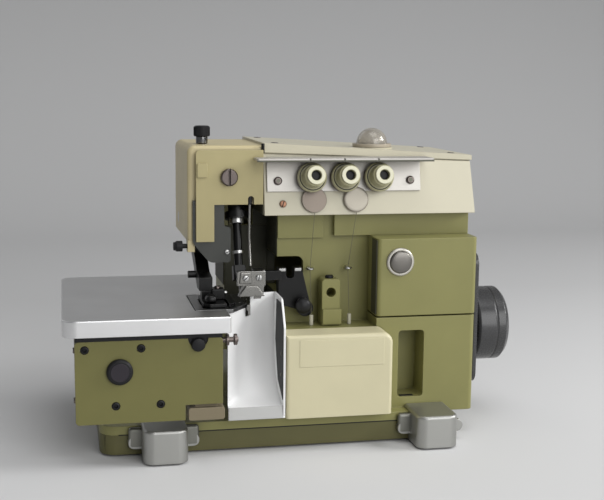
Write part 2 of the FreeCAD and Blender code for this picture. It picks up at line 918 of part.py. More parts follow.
def main_shaft():
    """Make the main shaft with its crank and feed eccentric."""
    axis = ("0", "shaft_height")
    end = "body_right + guard_gap + guard_thick + wheel_gap + wheel_hub_length + wheel_width - wheel_dish"
    pin_low = "crank_left + crank_web"
    pin_high = "crank_left + crank_web + crank_pin_length"
    left = rod("shaft_left", "x", "shaft_radius", between("body_left + shaft_inset", pin_low), axis)
    right = rod("shaft_right", "x", "shaft_radius", between(pin_high, end), axis)
    web = rod("crank_web_left", "x", "crank_radius", between("crank_left", pin_low), axis)
    web_two = rod(
        "crank_web_right", "x", "crank_radius", between(pin_high, f"{pin_high} + crank_web"), axis,
    )
    pin = rod(
        "crank_pin", "x", "crank_pin_radius", between(pin_low, pin_high), ("crank_throw", "shaft_height"),
    )
    cam = rod(
        "feed_eccentric", "x", "eccentric_radius",
        between("eccentric_left", "eccentric_left + eccentric_width"),
        ("eccentric_throw", "shaft_height"),
    )
    node(fuse("main_shaft", [left, right, web, web_two, pin, cam]), "main_shaft")


def handwheel():
    """Make the dished handwheel with its hub and belt groove."""
    rim = "wheel_hub_length"
    face = "wheel_hub_length + wheel_width"
    groove = "wheel_hub_length + 0.6 * wheel_width"
    profile = [
        ("shaft_radius", "0"),
        ("wheel_hub_radius", "0"),
        ("wheel_hub_radius", rim),
        ("wheel_radius - wheel_chamfer", rim),
        ("wheel_radius", f"{rim} + wheel_chamfer"),
        ("wheel_radius", f"{groove} - wheel_groove"),
        ("wheel_radius - wheel_groove", groove),
        ("wheel_radius", f"{groove} + wheel_groove"),
        ("wheel_radius", f"{face} - wheel_round"),
        ("wheel_radius - wheel_round", face),
        ("wheel_radius - 2.2 * wheel_round", face),
        ("wheel_radius - 2.8 * wheel_round", f"{face} - wheel_dish"),
        ("shaft_radius", f"{face} - wheel_dish"),
    ]
    place = ("body_right + guard_gap + guard_thick + wheel_gap", "0", "shaft_height")
    node(turned("handwheel", profile, place, (1, 0, 0)), "handwheel")


def belt_guard():
    """Make the plate that stands between the casting and the handwheel."""
    low = "body_right + guard_gap"
    outline = [
        ("-guard_half_width", "guard_bottom"),
        ("guard_half_width", "guard_bottom"),
        ("guard_half_width", "guard_top"),
        ("-guard_half_width", "guard_top"),
    ]
    plate = prism(
        "guard_plate_sheet", "yz", outline, between(low, f"{low} + guard_thick"),
        rounds=[("guard_round", range(4))], holes=[("0", "shaft_height", "guard_hole")],
    )
    pegs = []
    for side in (-1, 1):
        place = (f"{side} * guard_half_width / 2", "guard_top - guard_peg_drop")
        reach = between("body_right", f"{low} + guard_thick / 2")
        pegs.append(rod(f"guard_peg_{side + 1}", "x", "guard_peg_radius", reach, place))
    node(fuse("belt_guard", [plate, *pegs]), "belt_guard")


def connecting_rod():
    """Make the rod from the crank pin up to the needle rocker."""
    middle = "crank_left + crank_web + crank_pin_length / 2"
    span = between(f"{middle} - rod_width / 2", f"{middle} + rod_width / 2")
    top = "shaft_height + rod_length"
    big = rod("rod_big_end", "x", "crank_pin_radius + rod_wall", span, ("crank_throw", "shaft_height"))
    small = rod("rod_small_end", "x", "crank_pin_radius + rod_wall", span, ("crank_throw", top))
    shank = block(
        "rod_shank", between(f"{middle} - rod_shank / 2", f"{middle} + rod_shank / 2"),
        between("crank_throw - rod_shank / 2", "crank_throw + rod_shank / 2"), between("shaft_height", top),
    )
    bores = [
        rod("rod_big_bore", "x", "crank_pin_radius + running_gap", span, ("crank_throw", "shaft_height")),
        rod("rod_small_bore", "x", "crank_pin_radius", span, ("crank_throw", top)),
    ]
    node(cut("needle_con_rod", fuse("rod_solid", [big, small, shank]), bores), "needle_con_rod")


def upper_housing():
    """Make the leaning upper housing with its open cavity and the bearing of the rocker."""
    right_top = "housing_right - housing_draft"
    outline = [
        ("head_right", "casting_top"),
        ("housing_right", "casting_top"),
        (right_top, "housing_top_right"),
        ("head_right", "housing_top_left"),
    ]
    shell = prism("housing_shell", "xz", outline, between("housing_front", "body_rear"))
    lean = [
        ("housing_front - overrun", "casting_top"),
        ("housing_front", "casting_top"),
        ("housing_front + housing_lean", "housing_top_left"),
        ("housing_front - overrun", "housing_top_left"),
    ]
    wedge = prism("housing_wedge", "yz", lean, between("head_right - overrun", "housing_right + overrun"))
    inside = [
        ("head_right + housing_wall", "casting_top - overrun"),
        ("housing_right - housing_draft - housing_wall", "casting_top - overrun"),
        ("housing_right - housing_draft - housing_wall", "housing_top_left + overrun"),
        ("head_right + housing_wall", "housing_top_left + overrun"),
    ]
    front = "housing_front + housing_lean + housing_wall"
    hollow = prism("housing_hollow", "xz", inside, between(front, "body_rear - housing_wall"))
    shell = cut("housing_open", shell, [wedge, hollow])
    axis = ("rocker_y", ROCKER_Z)
    bearing = between("housing_right - housing_draft - 4 * housing_wall", "housing_right - housing_draft")
    boss = rod("rocker_boss", "x", "2 * rocker_radius", bearing, axis)
    bore = rod(
        "rocker_bore", "x", "rocker_radius + running_gap",
        between("head_right - overrun", "housing_right - housing_draft - housing_wall"), axis,
    )
    node(cut("upper_housing", fuse("housing_with_boss", [shell, boss]), [bore]), "upper_housing")


def lid_top(x):
    """Give the height of the sloping lid's upper face at a place along X."""
    right = "(housing_right - housing_draft + lid_overhang)"
    high = "(housing_top_left + gasket_thick + lid_thick_left)"
    low = "(housing_top_right + gasket_thick + lid_thick_right)"
    return f"({high} + ({low} - {high}) * (({x}) - head_right) / ({right} - head_right))"


def lid_and_gasket():
    """Make the sloping top lid and the gasket that it is screwed down on."""
    right = "housing_right - housing_draft"
    depth = between("housing_front + housing_lean", "body_rear")
    seat = [
        ("head_right", "housing_top_left"),
        (right, "housing_top_right"),
        (right, "housing_top_right + gasket_thick"),
        ("head_right", "housing_top_left + gasket_thick"),
    ]
    sheet_piece = prism("gasket_sheet", "xz", seat, depth)
    middle = block(
        "gasket_middle", between("head_right + gasket_width", f"{right} - gasket_width"),
        between("housing_front + housing_lean + gasket_width", "body_rear - gasket_width"),
        between("housing_top_right - overrun", "housing_top_left + 2 * gasket_thick"),
    )
    node(cut("lid_gasket", sheet_piece, [middle]), "lid_gasket")

    edge = "housing_right - housing_draft + lid_overhang"
    slope = "((housing_top_right - housing_top_left) / (housing_right - housing_draft - head_right))"
    outline = [
        ("head_right", "housing_top_left + gasket_thick"),
        (edge, f"housing_top_right + gasket_thick + lid_overhang * {slope}"),
        (edge, lid_top(edge)),
        ("head_right", lid_top("head_right")),
    ]
    front = "housing_front + housing_lean - lid_overhang"
    lid = prism("lid_plate", "xz", outline, between(front, "body_rear"), rounds=[("lid_round", [2])])
    boss_top = f"{lid_top('sight_x')} + sight_boss_rise"
    boss = rod(
        "sight_boss", "z", "sight_ring_radius + sight_boss_rise", between("housing_top_left", boss_top),
        ("sight_x", "sight_y"),
    )
    bore = rod(
        "sight_bore", "z", "dome_radius - dome_wall",
        between("housing_top_right - overrun", f"{boss_top} + overrun"),
        ("sight_x", "sight_y"),
    )
    node(cut("top_lid", fuse("lid_with_boss", [lid, boss]), [bore]), "top_lid")

    ring_top = f"{boss_top} + sight_ring_height"
    ring = rod(
        "sight_ring_disc", "z", "sight_ring_radius", between(boss_top, ring_top), ("sight_x", "sight_y"),
    )
    hole = rod(
        "sight_ring_hole", "z", "dome_radius", between(f"{boss_top} - overrun", f"{ring_top} + overrun"),
        ("sight_x", "sight_y"),
    )
    node(cut("oil_sight_ring", ring, [hole]), "oil_sight_ring")

    balls = []
    for name, radius in (("dome_outside", "dome_radius"), ("dome_inside", "dome_radius - dome_wall")):
        ball = doc.addObject("Part::Sphere", name)
        ball.Angle1 = 0
        ball.setExpression("Radius", formula(radius))
        for letter, text in zip("xyz", ("sight_x", "sight_y", ring_top)):
            ball.setExpression(f"Placement.Base.{letter}", formula(text))
        drum = rod(name + "_drum", "z", radius, between(boss_top, ring_top), ("sight_x", "sight_y"))
        balls.append(fuse(name + "_solid", [ball, drum]))
    node(cut("oil_sight_dome", balls[0], [balls[1]]), "oil_sight_dome")


def needle_axis(body):
    """Stand a body on the needle's line, which meets the bed at the needle point."""
    lean = Rotation(Vector(1, 0, 0), -size("needle_lean"))
    body.Placement = Placement(Vector(), lean)
    for letter, text in zip("xyz", ("needle_x", "needle_y", "plate_top")):
        body.setExpression(f"Placement.Base.{letter}", formula(text))
    return body


def on_needle_line(name, profile):
    """Turn a profile of radius and height about the needle's line."""
    return needle_axis(turned(name, profile, ("0", "0", "0"), (0, 0, 1)))


def plain(radius, low, high):
    """Give the profile of a plain round bar."""
    return [("0", low), (radius, low), (radius, high), ("0", high)]


def head():
    """Make the hollow head with its left cheek, and its face plate, screw and eye guard."""
    outline = [
        ("head_left", "cheek_floor"),
        ("cheek_right", "cheek_floor"),
        ("cheek_right", "head_floor"),
        ("head_right", "head_floor"),
        ("head_right", "head_top"),
        ("head_left", "head_top"),
    ]
    shell = prism(
        "head_shell", "xz", outline, between("head_front", "head_rear"), rounds=[("head_round", [5])],
    )
    shell = rounded("head_rounded", shell, "head_wall", along("z", ("head_left", "head_front")))
    lug = block(
        "guard_lug", between("head_left", "head_left + head_round"),
        between("head_front", "head_front + guard_lug_depth"),
        between("cheek_floor - guard_lug_drop", "cheek_floor + overrun"),
    )
    shell = fuse("head_with_lug", [shell, lug])
    depth = between("head_front + head_wall", "head_rear - head_wall")
    room = block(
        "head_room", between("head_left + head_wall", "head_right - head_wall"), depth,
        between("head_floor + head_wall", "head_top - head_wall"),
    )
    cheek = block(
        "cheek_room", between("head_left + head_wall", "cheek_right - head_wall"), depth,
        between("cheek_floor - overrun", "head_floor + 2 * head_wall"),
    )
    cheek = rounded("cheek_room_soft", cheek, "cheek_round", along("z"))
    cuts = [
        room,
        cheek,
        rod(
            "screw_hole", "z", "screw_shank_radius + running_gap",
            between("head_top - 2 * head_wall", "head_top + overrun"), ("screw_x", "screw_y"),
        ),
        rod(
            "rocker_hole", "x", "rocker_radius + edge_break",
            between("head_right - 2 * head_wall", "head_right + overrun"), ("rocker_y", ROCKER_Z),
        ),
        rod(
            "presser_holes", "x", "presser_shaft_radius",
            between("head_left - overrun", "cheek_right + overrun"),
            ("presser_y", "presser_z"),
        ),
        on_needle_line(
            "bush_hole",
            plain("needle_bush_radius", "needle_bush_start", "needle_bush_start + 2 * needle_bush_length"),
        ),
    ]
    node(cut("head_cover", shell, cuts), "head_cover")

    front = "head_front - guard_plate - face_thick"
    face = [
        ("face_left", "cheek_floor"),
        ("face_step", "cheek_floor"),
        ("face_step", "head_floor"),
        ("face_slot_x - face_slot_width / 2", "head_floor"),
        ("face_slot_x - face_slot_width / 2", "face_slot_top"),
        ("face_slot_x + face_slot_width / 2", "face_slot_top"),
        ("face_slot_x + face_slot_width / 2", "head_floor"),
        ("face_right", "head_floor"),
        ("face_right", "head_top - head_wall"),
        ("face_left", "head_top - head_wall"),
    ]
    plate = prism(
        "face_sheet", "xz", face, between(front, "head_front - guard_plate"),
        rounds=[("face_slot_width / 2.1", [4, 5]), ("face_thick", [9])],
        holes=[("face_screw_x", "face_screw_z", "face_screw_radius / 2")],
    )
    spacer = block(
        "face_spacer", between("face_left + face_thick", "face_slot_x - face_slot_width"),
        between("head_front - guard_plate", "head_front"),
        between("head_floor + head_wall", "head_top - 2 * head_wall"),
    )
    hole = rod(
        "face_hole", "y", "face_screw_radius / 2", between(f"{front} - overrun", "head_front + overrun"),
        ("face_screw_x", "face_screw_z"),
    )
    lug = block(
        "face_lug", between("face_lug_left", "face_lug_left + face_lug_width"),
        between(f"{front} - face_lug_rise", f"{front} + face_thick / 2"),
        between("face_lug_bottom", "face_lug_bottom + face_lug_height"),
    )
    lug = rounded("face_lug_soft", lug, "face_lug_round", along("y"))
    node(cut("face_plate", fuse("face_solid", [plate, spacer, lug]), [hole]), "face_plate")

    screw = [
        ("0", "0"),
        ("face_screw_radius", "0"),
        ("face_screw_radius", "face_thick"),
        ("face_screw_radius - edge_break", "face_thick + edge_break"),
        ("0", "face_thick + edge_break"),
    ]
    cap = turned("face_screw_head", screw, ("face_screw_x", front, "face_screw_z"), (0, -1, 0))
    slot = block(
        "face_screw_slot",
        between("face_screw_x - face_screw_slot / 2", "face_screw_x + face_screw_slot / 2"),
        between(f"{front} - 2 * face_thick", f"{front} - face_thick / 2"),
        between("face_screw_z - face_screw_radius", "face_screw_z + face_screw_radius"),
    )
    stem = rod(
        "face_screw_stem", "y", "face_screw_radius / 2", between(front, "head_front"),
        ("face_screw_x", "face_screw_z"),
    )
    node(cut("face_plate_screw", fuse("face_screw_solid", [cap, stem]), [slot]), "face_plate_screw")

    glass = [
        ("guard_plate_left", "cheek_floor - overrun"),
        ("guard_plate_corner_x", "guard_plate_bottom"),
        ("guard_plate_right", "guard_plate_bottom"),
        ("guard_plate_right", "guard_notch_low"),
        ("guard_notch_left", "guard_notch_low"),
        ("guard_notch_left", "head_floor + head_wall"),
        ("guard_plate_left", "head_floor + head_wall"),
    ]
    guard = prism(
        "eye_guard", "xz", glass, between("head_front - guard_plate", "head_front"),
        rounds=[("guard_plate_corner", [0, 1]), ("guard_notch_round", [2, 3, 4])],
    )
    node(guard, "eye_guard")

    head_end = "thumb_stem + thumb_head"
    thumb = [
        ("0", "0"),
        ("thumb_stem_radius", "0"),
        ("thumb_stem_radius", "thumb_stem"),
        ("thumb_radius", "thumb_stem"),
        ("thumb_radius", head_end),
        ("thumb_radius - edge_break", f"{head_end} + edge_break"),
        ("thumb_radius - edge_break", "thumb_length"),
        ("0", "thumb_length"),
    ]
    place = ("head_left", "head_front + guard_lug_depth / 2", "cheek_floor - guard_lug_drop / 2")
    node(turned("guard_thumb_screw", thumb, place, (-1, 0, 0)), "guard_thumb_screw")


def plain_bushes():
    """Make the two bushes of the main shaft in the casting walls, and the needle bar's bush."""
    spans = {
        "left": between("body_left", "body_left + casting_wall"),
        "right": between("body_right - casting_wall", "body_right"),
    }
    rings = []
    for side, span in spans.items():
        sleeve = rod(f"bush_{side}", "x", "shaft_radius + bush_wall", span, ("0", "shaft_height"))
        bore = rod(f"bush_bore_{side}", "x", "shaft_radius + running_gap", span, ("0", "shaft_height"))
        rings.append(cut(f"main_bush_{side}", sleeve, [bore]))
    bush = [
        ("needle_bar_radius + running_gap", "needle_bush_start"),
        ("needle_bush_radius + needle_bush_flange", "needle_bush_start"),
        ("needle_bush_radius + needle_bush_flange", "needle_bush_start + needle_bush_length / 3"),
        ("needle_bush_radius", "needle_bush_start + needle_bush_length / 3"),
        ("needle_bush_radius", "needle_bush_start + needle_bush_length"),
        ("needle_bar_radius + running_gap", "needle_bush_start + needle_bush_length"),
    ]
    rings.append(on_needle_line("needle_bush", bush))
    node(group("plain_bushes", rings), "plain_bushes")


def needle_drive():
    """Make the rocker and the leaning needle bar with its clamp and needle."""
    axis = ("rocker_y", ROCKER_Z)
    right = "housing_right - housing_draft - housing_wall - seat_gap"
    fork_in = "needle_collar_radius + fork_gap"
    shaft = rod(
        "rocker_shaft", "x", "rocker_radius", between(f"needle_x - {fork_in} - fork_thick", right), axis,
    )
    pieces = [shaft]
    for side in (-1, 1):
        low, high = sorted(
            (f"needle_x + {side} * ({fork_in})", f"needle_x + {side} * ({fork_in} + fork_thick)"), key=size,
        )
        hub = rod(f"fork_hub_{side + 1}", "x", "rocker_radius + fork_thick", between(low, high), axis)
        prong = [
            ("rocker_y", f"{ROCKER_Z} - rocker_radius - fork_thick / 2"),
            ("rocker_y", f"{ROCKER_Z} + rocker_radius + fork_thick / 2"),
            ("rocker_y - fork_reach", f"{ROCKER_Z} + rocker_radius / 2"),
            ("rocker_y - fork_reach", f"{ROCKER_Z} - rocker_radius / 2"),
        ]
        pieces += [hub, prism(f"fork_prong_{side + 1}", "yz", prong, between(low, high))]
    lever_low = "crank_left + crank_web + crank_pin_length + crank_web / 3"
    lever = block(
        "rocker_lever", between(lever_low, f"{lever_low} + crank_web"),
        between("rocker_y - rocker_radius", "rocker_y + rocker_radius"),
        between("shaft_height + rod_length", ROCKER_Z),
    )
    pieces.append(lever)
    node(fuse("needle_rocker", pieces), "needle_rocker")

    collar_end = "needle_collar_start + needle_collar_length"
    top = "needle_bar_low + needle_bar_length"
    bar = [
        ("0", "needle_bar_low"),
        ("needle_bar_radius", "needle_bar_low"),
        ("needle_bar_radius", "needle_collar_start"),
        ("needle_collar_radius", "needle_collar_start"),
        ("needle_collar_radius", collar_end),
        ("needle_bar_radius", collar_end),
        ("needle_bar_radius", top),
        ("0", top),
    ]
    node(on_needle_line("needle_bar", bar), "needle_bar")

    clamp_low = "needle_bar_low - needle_clamp_height / 2"
    clamp_high = "needle_bar_low + needle_clamp_height / 2"
    square = [
        ("-needle_clamp_half", "-needle_clamp_half"),
        ("needle_clamp_half", "-needle_clamp_half"),
        ("needle_clamp_half", "needle_clamp_half"),
        ("-needle_clamp_half", "needle_clamp_half"),
    ]
    lump = prism(
        "clamp_block", "xy", square, between(clamp_low, clamp_high),
        rounds=[("needle_clamp_round", range(4))],
    )
    needle_axis(lump)
    socket = on_needle_line(
        "clamp_socket", plain("needle_bar_radius", "needle_bar_low", f"{clamp_high} + overrun"),
    )
    grip = on_needle_line("clamp_grip", plain("needle_radius", f"{clamp_low} - overrun", "needle_bar_low"))
    node(cut("needle_clamp", lump, [socket, grip]), "needle_clamp")

    point = [
        ("0", "needle_gap"),
        ("needle_radius", "needle_gap + 5 * needle_radius"),
        ("needle_radius", "needle_bar_low"),
        ("0", "needle_bar_low"),
    ]
    node(on_needle_line("needle", point), "needle")


def needle_plate():
    """Make the needle plate with its two feed slots and its needle hole."""
    low = "plate_top - plate_skin"
    outline = [
        ("notch_left + plate_gap", "notch_front + plate_gap"),
        ("needle_plate_corner_x", "notch_front + plate_gap"),
        ("needle_plate_right", "needle_plate_corner_y"),
        ("needle_plate_right", "notch_rear - plate_gap"),
        ("notch_left + plate_gap", "notch_rear - plate_gap"),
    ]
    sheet_piece = prism("needle_plate_sheet", "xy", outline, between(low, "plate_top"))
    sides = between("feed_left - 2 * seat_gap", "feed_right + 2 * seat_gap")
    cuts = []
    for name, front, length in (
        ("main", "feed_front", "feed_length"), ("second", "feed_second_front", "feed_second_length"),
    ):
        run = between(
            f"{front} - feed_travel - 2 * seat_gap", f"{front} + {length} + feed_travel + 2 * seat_gap",
        )
        cuts.append(
            block(f"feed_slot_{name}", sides, run, between(f"{low} - overrun", "plate_top + overrun")),
        )
    cuts.append(
        rod(
            "needle_hole", "z", "2.75 * needle_radius", between(f"{low} - overrun", "plate_top + overrun"),
            ("needle_x", "needle_y - plate_gap"),
        ),
    )
    node(cut("needle_plate", sheet_piece, cuts), "needle_plate")


def feed_dog(name, front, length, head_low, bar_sides, bar_top):
    """Make one toothed feed dog on its sliding bar."""
    top = "plate_top - feed_proud"
    root = f"{top} - feed_tooth_height"
    count = int(size(f"({length}) / feed_tooth"))
    outline = [(f"{front} + {length}", head_low), (f"{front} + {length}", root)]
    for tooth in reversed(range(count)):
        outline.append((f"{front} + ({tooth} + 0.3) * ({length}) / {count}", top))
        outline.append((f"{front} + {tooth} * ({length}) / {count}", root))
    outline.append((front, head_low))
    teeth = prism(f"{name}_head", "yz", outline, between("feed_left", "feed_right"))
    middle = "(feed_left + feed_right) / 2"
    lane = block(
        f"{name}_lane", between(f"{middle} - feed_lane / 2", f"{middle} + feed_lane / 2"),
        between(f"{front} - overrun", f"{front} + {length} + overrun"),
        between(f"{root} - overrun", f"{top} + overrun"),
    )
    bar = block(
        f"{name}_bar", bar_sides, between(f"{front} + feed_tooth", "feed_bar_rear"),
        between("bed_arm_top + feed_bar_gap", bar_top),
    )
    node(fuse(name, [cut(f"{name}_toothed", teeth, [lane]), bar]), name)


def feed_dogs():
    """Make the main and the differential feed dog, whose bars run side by side."""
    low = "bed_arm_top + feed_bar_gap"
    high = f"{low} + feed_bar_height"
    main_bar = between("feed_left + feed_bar_width + feed_bar_apart", "feed_right - 2 * feed_bar_apart")
    feed_dog("main_feed_dog", "feed_front", "feed_length", high, main_bar, f"{high} + overrun")
    feed_dog(
        "differential_feed_dog", "feed_second_front", "feed_second_length", low,
        between("feed_left", "feed_left + feed_bar_width"), f"{high} - feed_bar_gap",
    )


def looper(name, front):
    """Make one curved looper with its hub and the shaft that carries it."""
    x = f"{name}_x"
    z = f"{name}_z"
    reach = f"{name}_reach"
    rise = f"{name}_rise"
    hub = rod(
        f"{name}_hub", "y", "looper_hub_radius", between("looper_hub_front", "panel_front - 2 * seat_gap"),
        (x, z),
    )
    shaft = rod(
        f"{name}_shaft", "y", "looper_shaft_radius",
        between("looper_hub_front", "panel_front + casting_wall + looper_blade"), (x, z),
    )
    outline = [
        (f"{x} - looper_root", f"{z} - looper_root"),
        (f"{x} - 0.71 * {reach}", f"{z} + 0.45 * {rise}"),
        (f"{x} - {reach}", f"{z} + {rise}"),
        (f"{x} - {reach} + looper_tip", f"{z} + {rise} + looper_tip"),
        (f"{x} - 0.47 * {reach}", f"{z} + 0.64 * {rise}"),
        (f"{x} + looper_root / 2", f"{z} + looper_root"),
    ]
    span = between(front, f"{front} + looper_blade")
    blade = prism(f"{name}_blade", "xz", outline, span, rounds=[("looper_curve", [1, 4])])
    node(fuse(name, [hub, shaft, blade]), name)


def loopers():
    """Make the lower and the upper looper, one behind the other."""
    looper("lower_looper", "looper_hub_front + looper_blade / 2")
    looper("upper_looper", "looper_hub_front + 2 * looper_blade + plate_gap")


def upper_knife():
    """Make the swinging knife arm, and the knife with its holder and chip shield."""
    axis = ("knife_x", "knife_z")
    hub_span = between("knife_hub_front", "panel_front - 2 * seat_gap")
    hub = rod("knife_hub", "y", "knife_hub_radius", hub_span, axis)
    shaft_span = between("knife_hub_front", "panel_front + casting_wall + knife_shaft_over")
    shaft = rod("knife_shaft", "y", "knife_shaft_radius", shaft_span, axis)
    notch = "knife_arm_top - knife_notch"
    foot = "knife_z + knife_foot_rise"
    outline = [
        ("knife_x - knife_foot", "knife_z + overrun"),
        ("knife_x + knife_heel", "knife_z + overrun"),
        ("knife_x + knife_heel", foot),
        ("knife_arm_right", "knife_arm_top"),
        ("knife_arm_right - knife_prong", "knife_arm_top"),
        ("knife_arm_right - knife_prong", notch),
        ("knife_arm_left + knife_prong", notch),
        ("knife_arm_left + knife_prong", "knife_arm_top"),
        ("knife_arm_left", "knife_arm_top"),
        ("knife_arm_left", foot),
    ]
    depth = between("knife_front", "knife_rear")
    rounds = [("knife_notch_round", [5, 6]), ("2 * knife_notch_round", [9])]
    bracket = prism("knife_bracket", "xz", outline, depth, rounds=rounds)
    link_top = "knife_arm_top - knife_link_proud"
    link = block(
        "knife_link", between("blade_left", "knife_arm_left + knife_link_proud"),
        between("knife_front - knife_link_proud", "knife_front + 2 * knife_link_proud"),
        between(f"{link_top} - knife_link_height", link_top),
    )
    knob = rod(
        "knife_knob", "y", "knife_knob_radius", between("knife_front - knife_knob_proud", "knife_front"),
        ("knife_x - knife_knob_side", "knife_z + knife_hub_radius"),
    )
    node(fuse("upper_knife_arm", [hub, shaft, bracket, link, knob]), "upper_knife_arm")

    holder = block(
        "knife_block", between("blade_left", "blade_right"),
        between("blade_front", "knife_front - knife_link_proud"),
        between("blade_block_low", "blade_block_high"),
    )
    edge = [
        ("blade_left", "blade_block_low + overrun"),
        ("blade_left", "blade_bottom"),
        ("blade_right - blade_taper", "blade_bottom"),
        ("blade_right", "blade_block_low + overrun"),
    ]
    blade = prism("upper_blade", "xz", edge, between("blade_front", "blade_front + blade_thick"))
    waist = "blade_block_high - shield_depth"
    low = f"{waist} - shield_skirt"
    outline = [
        ("blade_right - shield_step", low),
        ("blade_right - shield_step", waist),
        ("blade_right", waist),
        ("blade_right", "blade_block_high"),
        ("shield_left", "blade_block_high"),
        ("shield_left", waist),
        ("shield_left + 3 * shield_step", waist),
        ("shield_left + shield_step / 2", low),
    ]
    cover = between("blade_front - shield_thick", "blade_front")
    shield = prism("chip_shield", "xz", outline, cover, rounds=[("shield_step", [3, 4])])
    node(fuse("upper_knife", [holder, blade, shield]), "upper_knife")


def lower_knife():
    """Make the fixed lower knife on its holder beside the needle plate."""
    rest = "plate_top - plate_skin"
    rear = "panel_front + lower_foot_depth"
    right = "lower_blade_left + lower_blade_thick"
    side = "lower_blade_left - lower_foot_side"
    foot = block(
        "lower_knife_foot", between(side, f"{side} + lower_foot_width"), between("panel_front", rear),
        between("bay_top", rest),
    )
    height = between(f"{rest} - lower_blade_height", rest)
    arm = block(
        "lower_knife_beam", between("lower_blade_left - lower_margin", f"{right} + lower_margin"),
        between("blade_front + lower_blade_run", rear), height,
    )
    cutter = block(
        "lower_blade", between("lower_blade_left", right),
        between("blade_front - lower_blade_lead", "blade_front + 2 * lower_blade_lead"), height,
    )
    tip = block(
        "lower_blade_tip", between("needle_plate_right + seat_gap", right),
        between("blade_front - lower_blade_lead", "blade_front + lower_blade_run"),
        between(f"{rest} - lower_tip", "plate_top - lower_margin"),
    )
    node(fuse("lower_knife", [foot, arm, cutter, tip]), "lower_knife")


def presser_arm():
    """Make the presser shaft and the bent arm that swings on it."""
    axis = ("presser_y", "presser_z")
    shaft = rod("presser_shaft", "x", "presser_shaft_radius", between("head_left", "cheek_right"), axis)
    node(shaft, "presser_shaft")
    span = between("presser_left", "presser_right")
    outline = [
        ("presser_y - presser_hub_radius / 2", "presser_z + 0.86 * presser_hub_radius"),
        ("presser_y - presser_knee", "presser_z - presser_knee_drop"),
        ("presser_y - presser_bend", "presser_z - presser_bend_drop"),
        ("presser_y - presser_reach", "presser_z - presser_bend_drop - presser_nose"),
        ("presser_y - presser_reach", SOLE_HEEL),
        ("presser_y - presser_bend - presser_nose", SOLE_HEEL),
        ("presser_y - presser_knee - presser_nose", "presser_z - presser_knee_drop - presser_depth"),
        ("presser_y + presser_hub_radius / 2", "presser_z - 0.86 * presser_hub_radius"),
    ]
    beam = prism("presser_beam", "yz", outline, span, rounds=[("presser_round", [1, 2, 6])])
    hub = rod("presser_hub", "x", "presser_hub_radius", span, axis)
    seat = between("presser_z - spring_seat_drop - spring_seat_height", "presser_z - spring_seat_drop")
    stud = rod("spring_seat", "z", "spring_seat_radius", seat, ("screw_x", "screw_y"))
    pin = rod(
        "presser_pin", "x", "presser_pin_radius",
        between("presser_left - presser_pin_length", "presser_left + overrun"),
        ("presser_y - presser_bend + 2 * presser_nose", "presser_z - presser_pin_drop"),
    )
    bore = rod(
        "presser_bore", "x", "presser_shaft_radius + running_gap",
        between("presser_left - overrun", "presser_right + overrun"), axis,
    )
    node(cut("presser_arm", fuse("presser_solid", [beam, hub, stud, pin]), [bore]), "presser_arm")


def presser_foot():
    """Make the presser foot: a slotted sole and the shank that joins it to the arm."""
    low = "plate_top + sole_gap"
    sole_top = f"{low} + sole_thick"
    plan = [
        ("sole_left", "sole_rear"),
        ("sole_left", "sole_front + sole_corner"),
        ("sole_left + sole_corner", "sole_front"),
        ("sole_right - sole_corner", "sole_front"),
        ("sole_right", "sole_front + sole_corner"),
        ("sole_right", "sole_rear"),
    ]
    sole = prism("sole_plate", "xy", plan, between(low, sole_top))
    shank = block(
        "sole_shank", between("presser_left + presser_nose", "presser_right"),
        between("presser_y - presser_reach", "presser_y - presser_reach + sole_shank"),
        between(low, SOLE_HEEL),
    )
    slot = block(
        "sole_slot", between("sole_right - sole_slot_inset", "sole_right - sole_slot_inset + sole_slot"),
        between("sole_front - overrun", "sole_rear - sole_slot_end"),
        between(f"{low} - overrun", f"{sole_top} + overrun"),
    )
    node(fuse("presser_foot", [cut("sole_slotted", sole, [slot]), shank]), "presser_foot")


def pressure_screw():
    """Make the knurled screw that sets the presser foot's pressure, and its spring."""
    grip = "head_top + screw_neck"
    top = f"{grip} + screw_head_height"
    collar = "head_top - head_wall - screw_length / 2"
    spring_end = f"{collar} - screw_collar"
    screw = [
        ("0", spring_end),
        ("spring_radius + spring_wire / 2", spring_end),
        ("spring_radius + spring_wire / 2", collar),
        ("screw_shank_radius", collar),
        ("screw_shank_radius", "head_top + seat_gap"),
        ("screw_head_radius - screw_collar", "head_top + seat_gap"),
        ("screw_head_radius - screw_collar", grip),
        ("screw_head_radius", grip),
        ("screw_head_radius", f"{top} - edge_break"),
        ("screw_head_radius - edge_break", top),
        ("0", top),
    ]
    node(turned("pressure_screw", screw, ("screw_x", "screw_y", "0"), (0, 0, 1)), "pressure_screw")
    span = between("presser_z - spring_seat_drop + seat_gap", f"{spring_end} - seat_gap")
    place = ("screw_x", "screw_y", "0")
    up = Vector(0, 0, 1)
    wire = coil("presser_spring", "spring_radius", "spring_wire", "spring_turns", span, place, up)
    node(wire, "presser_spring")


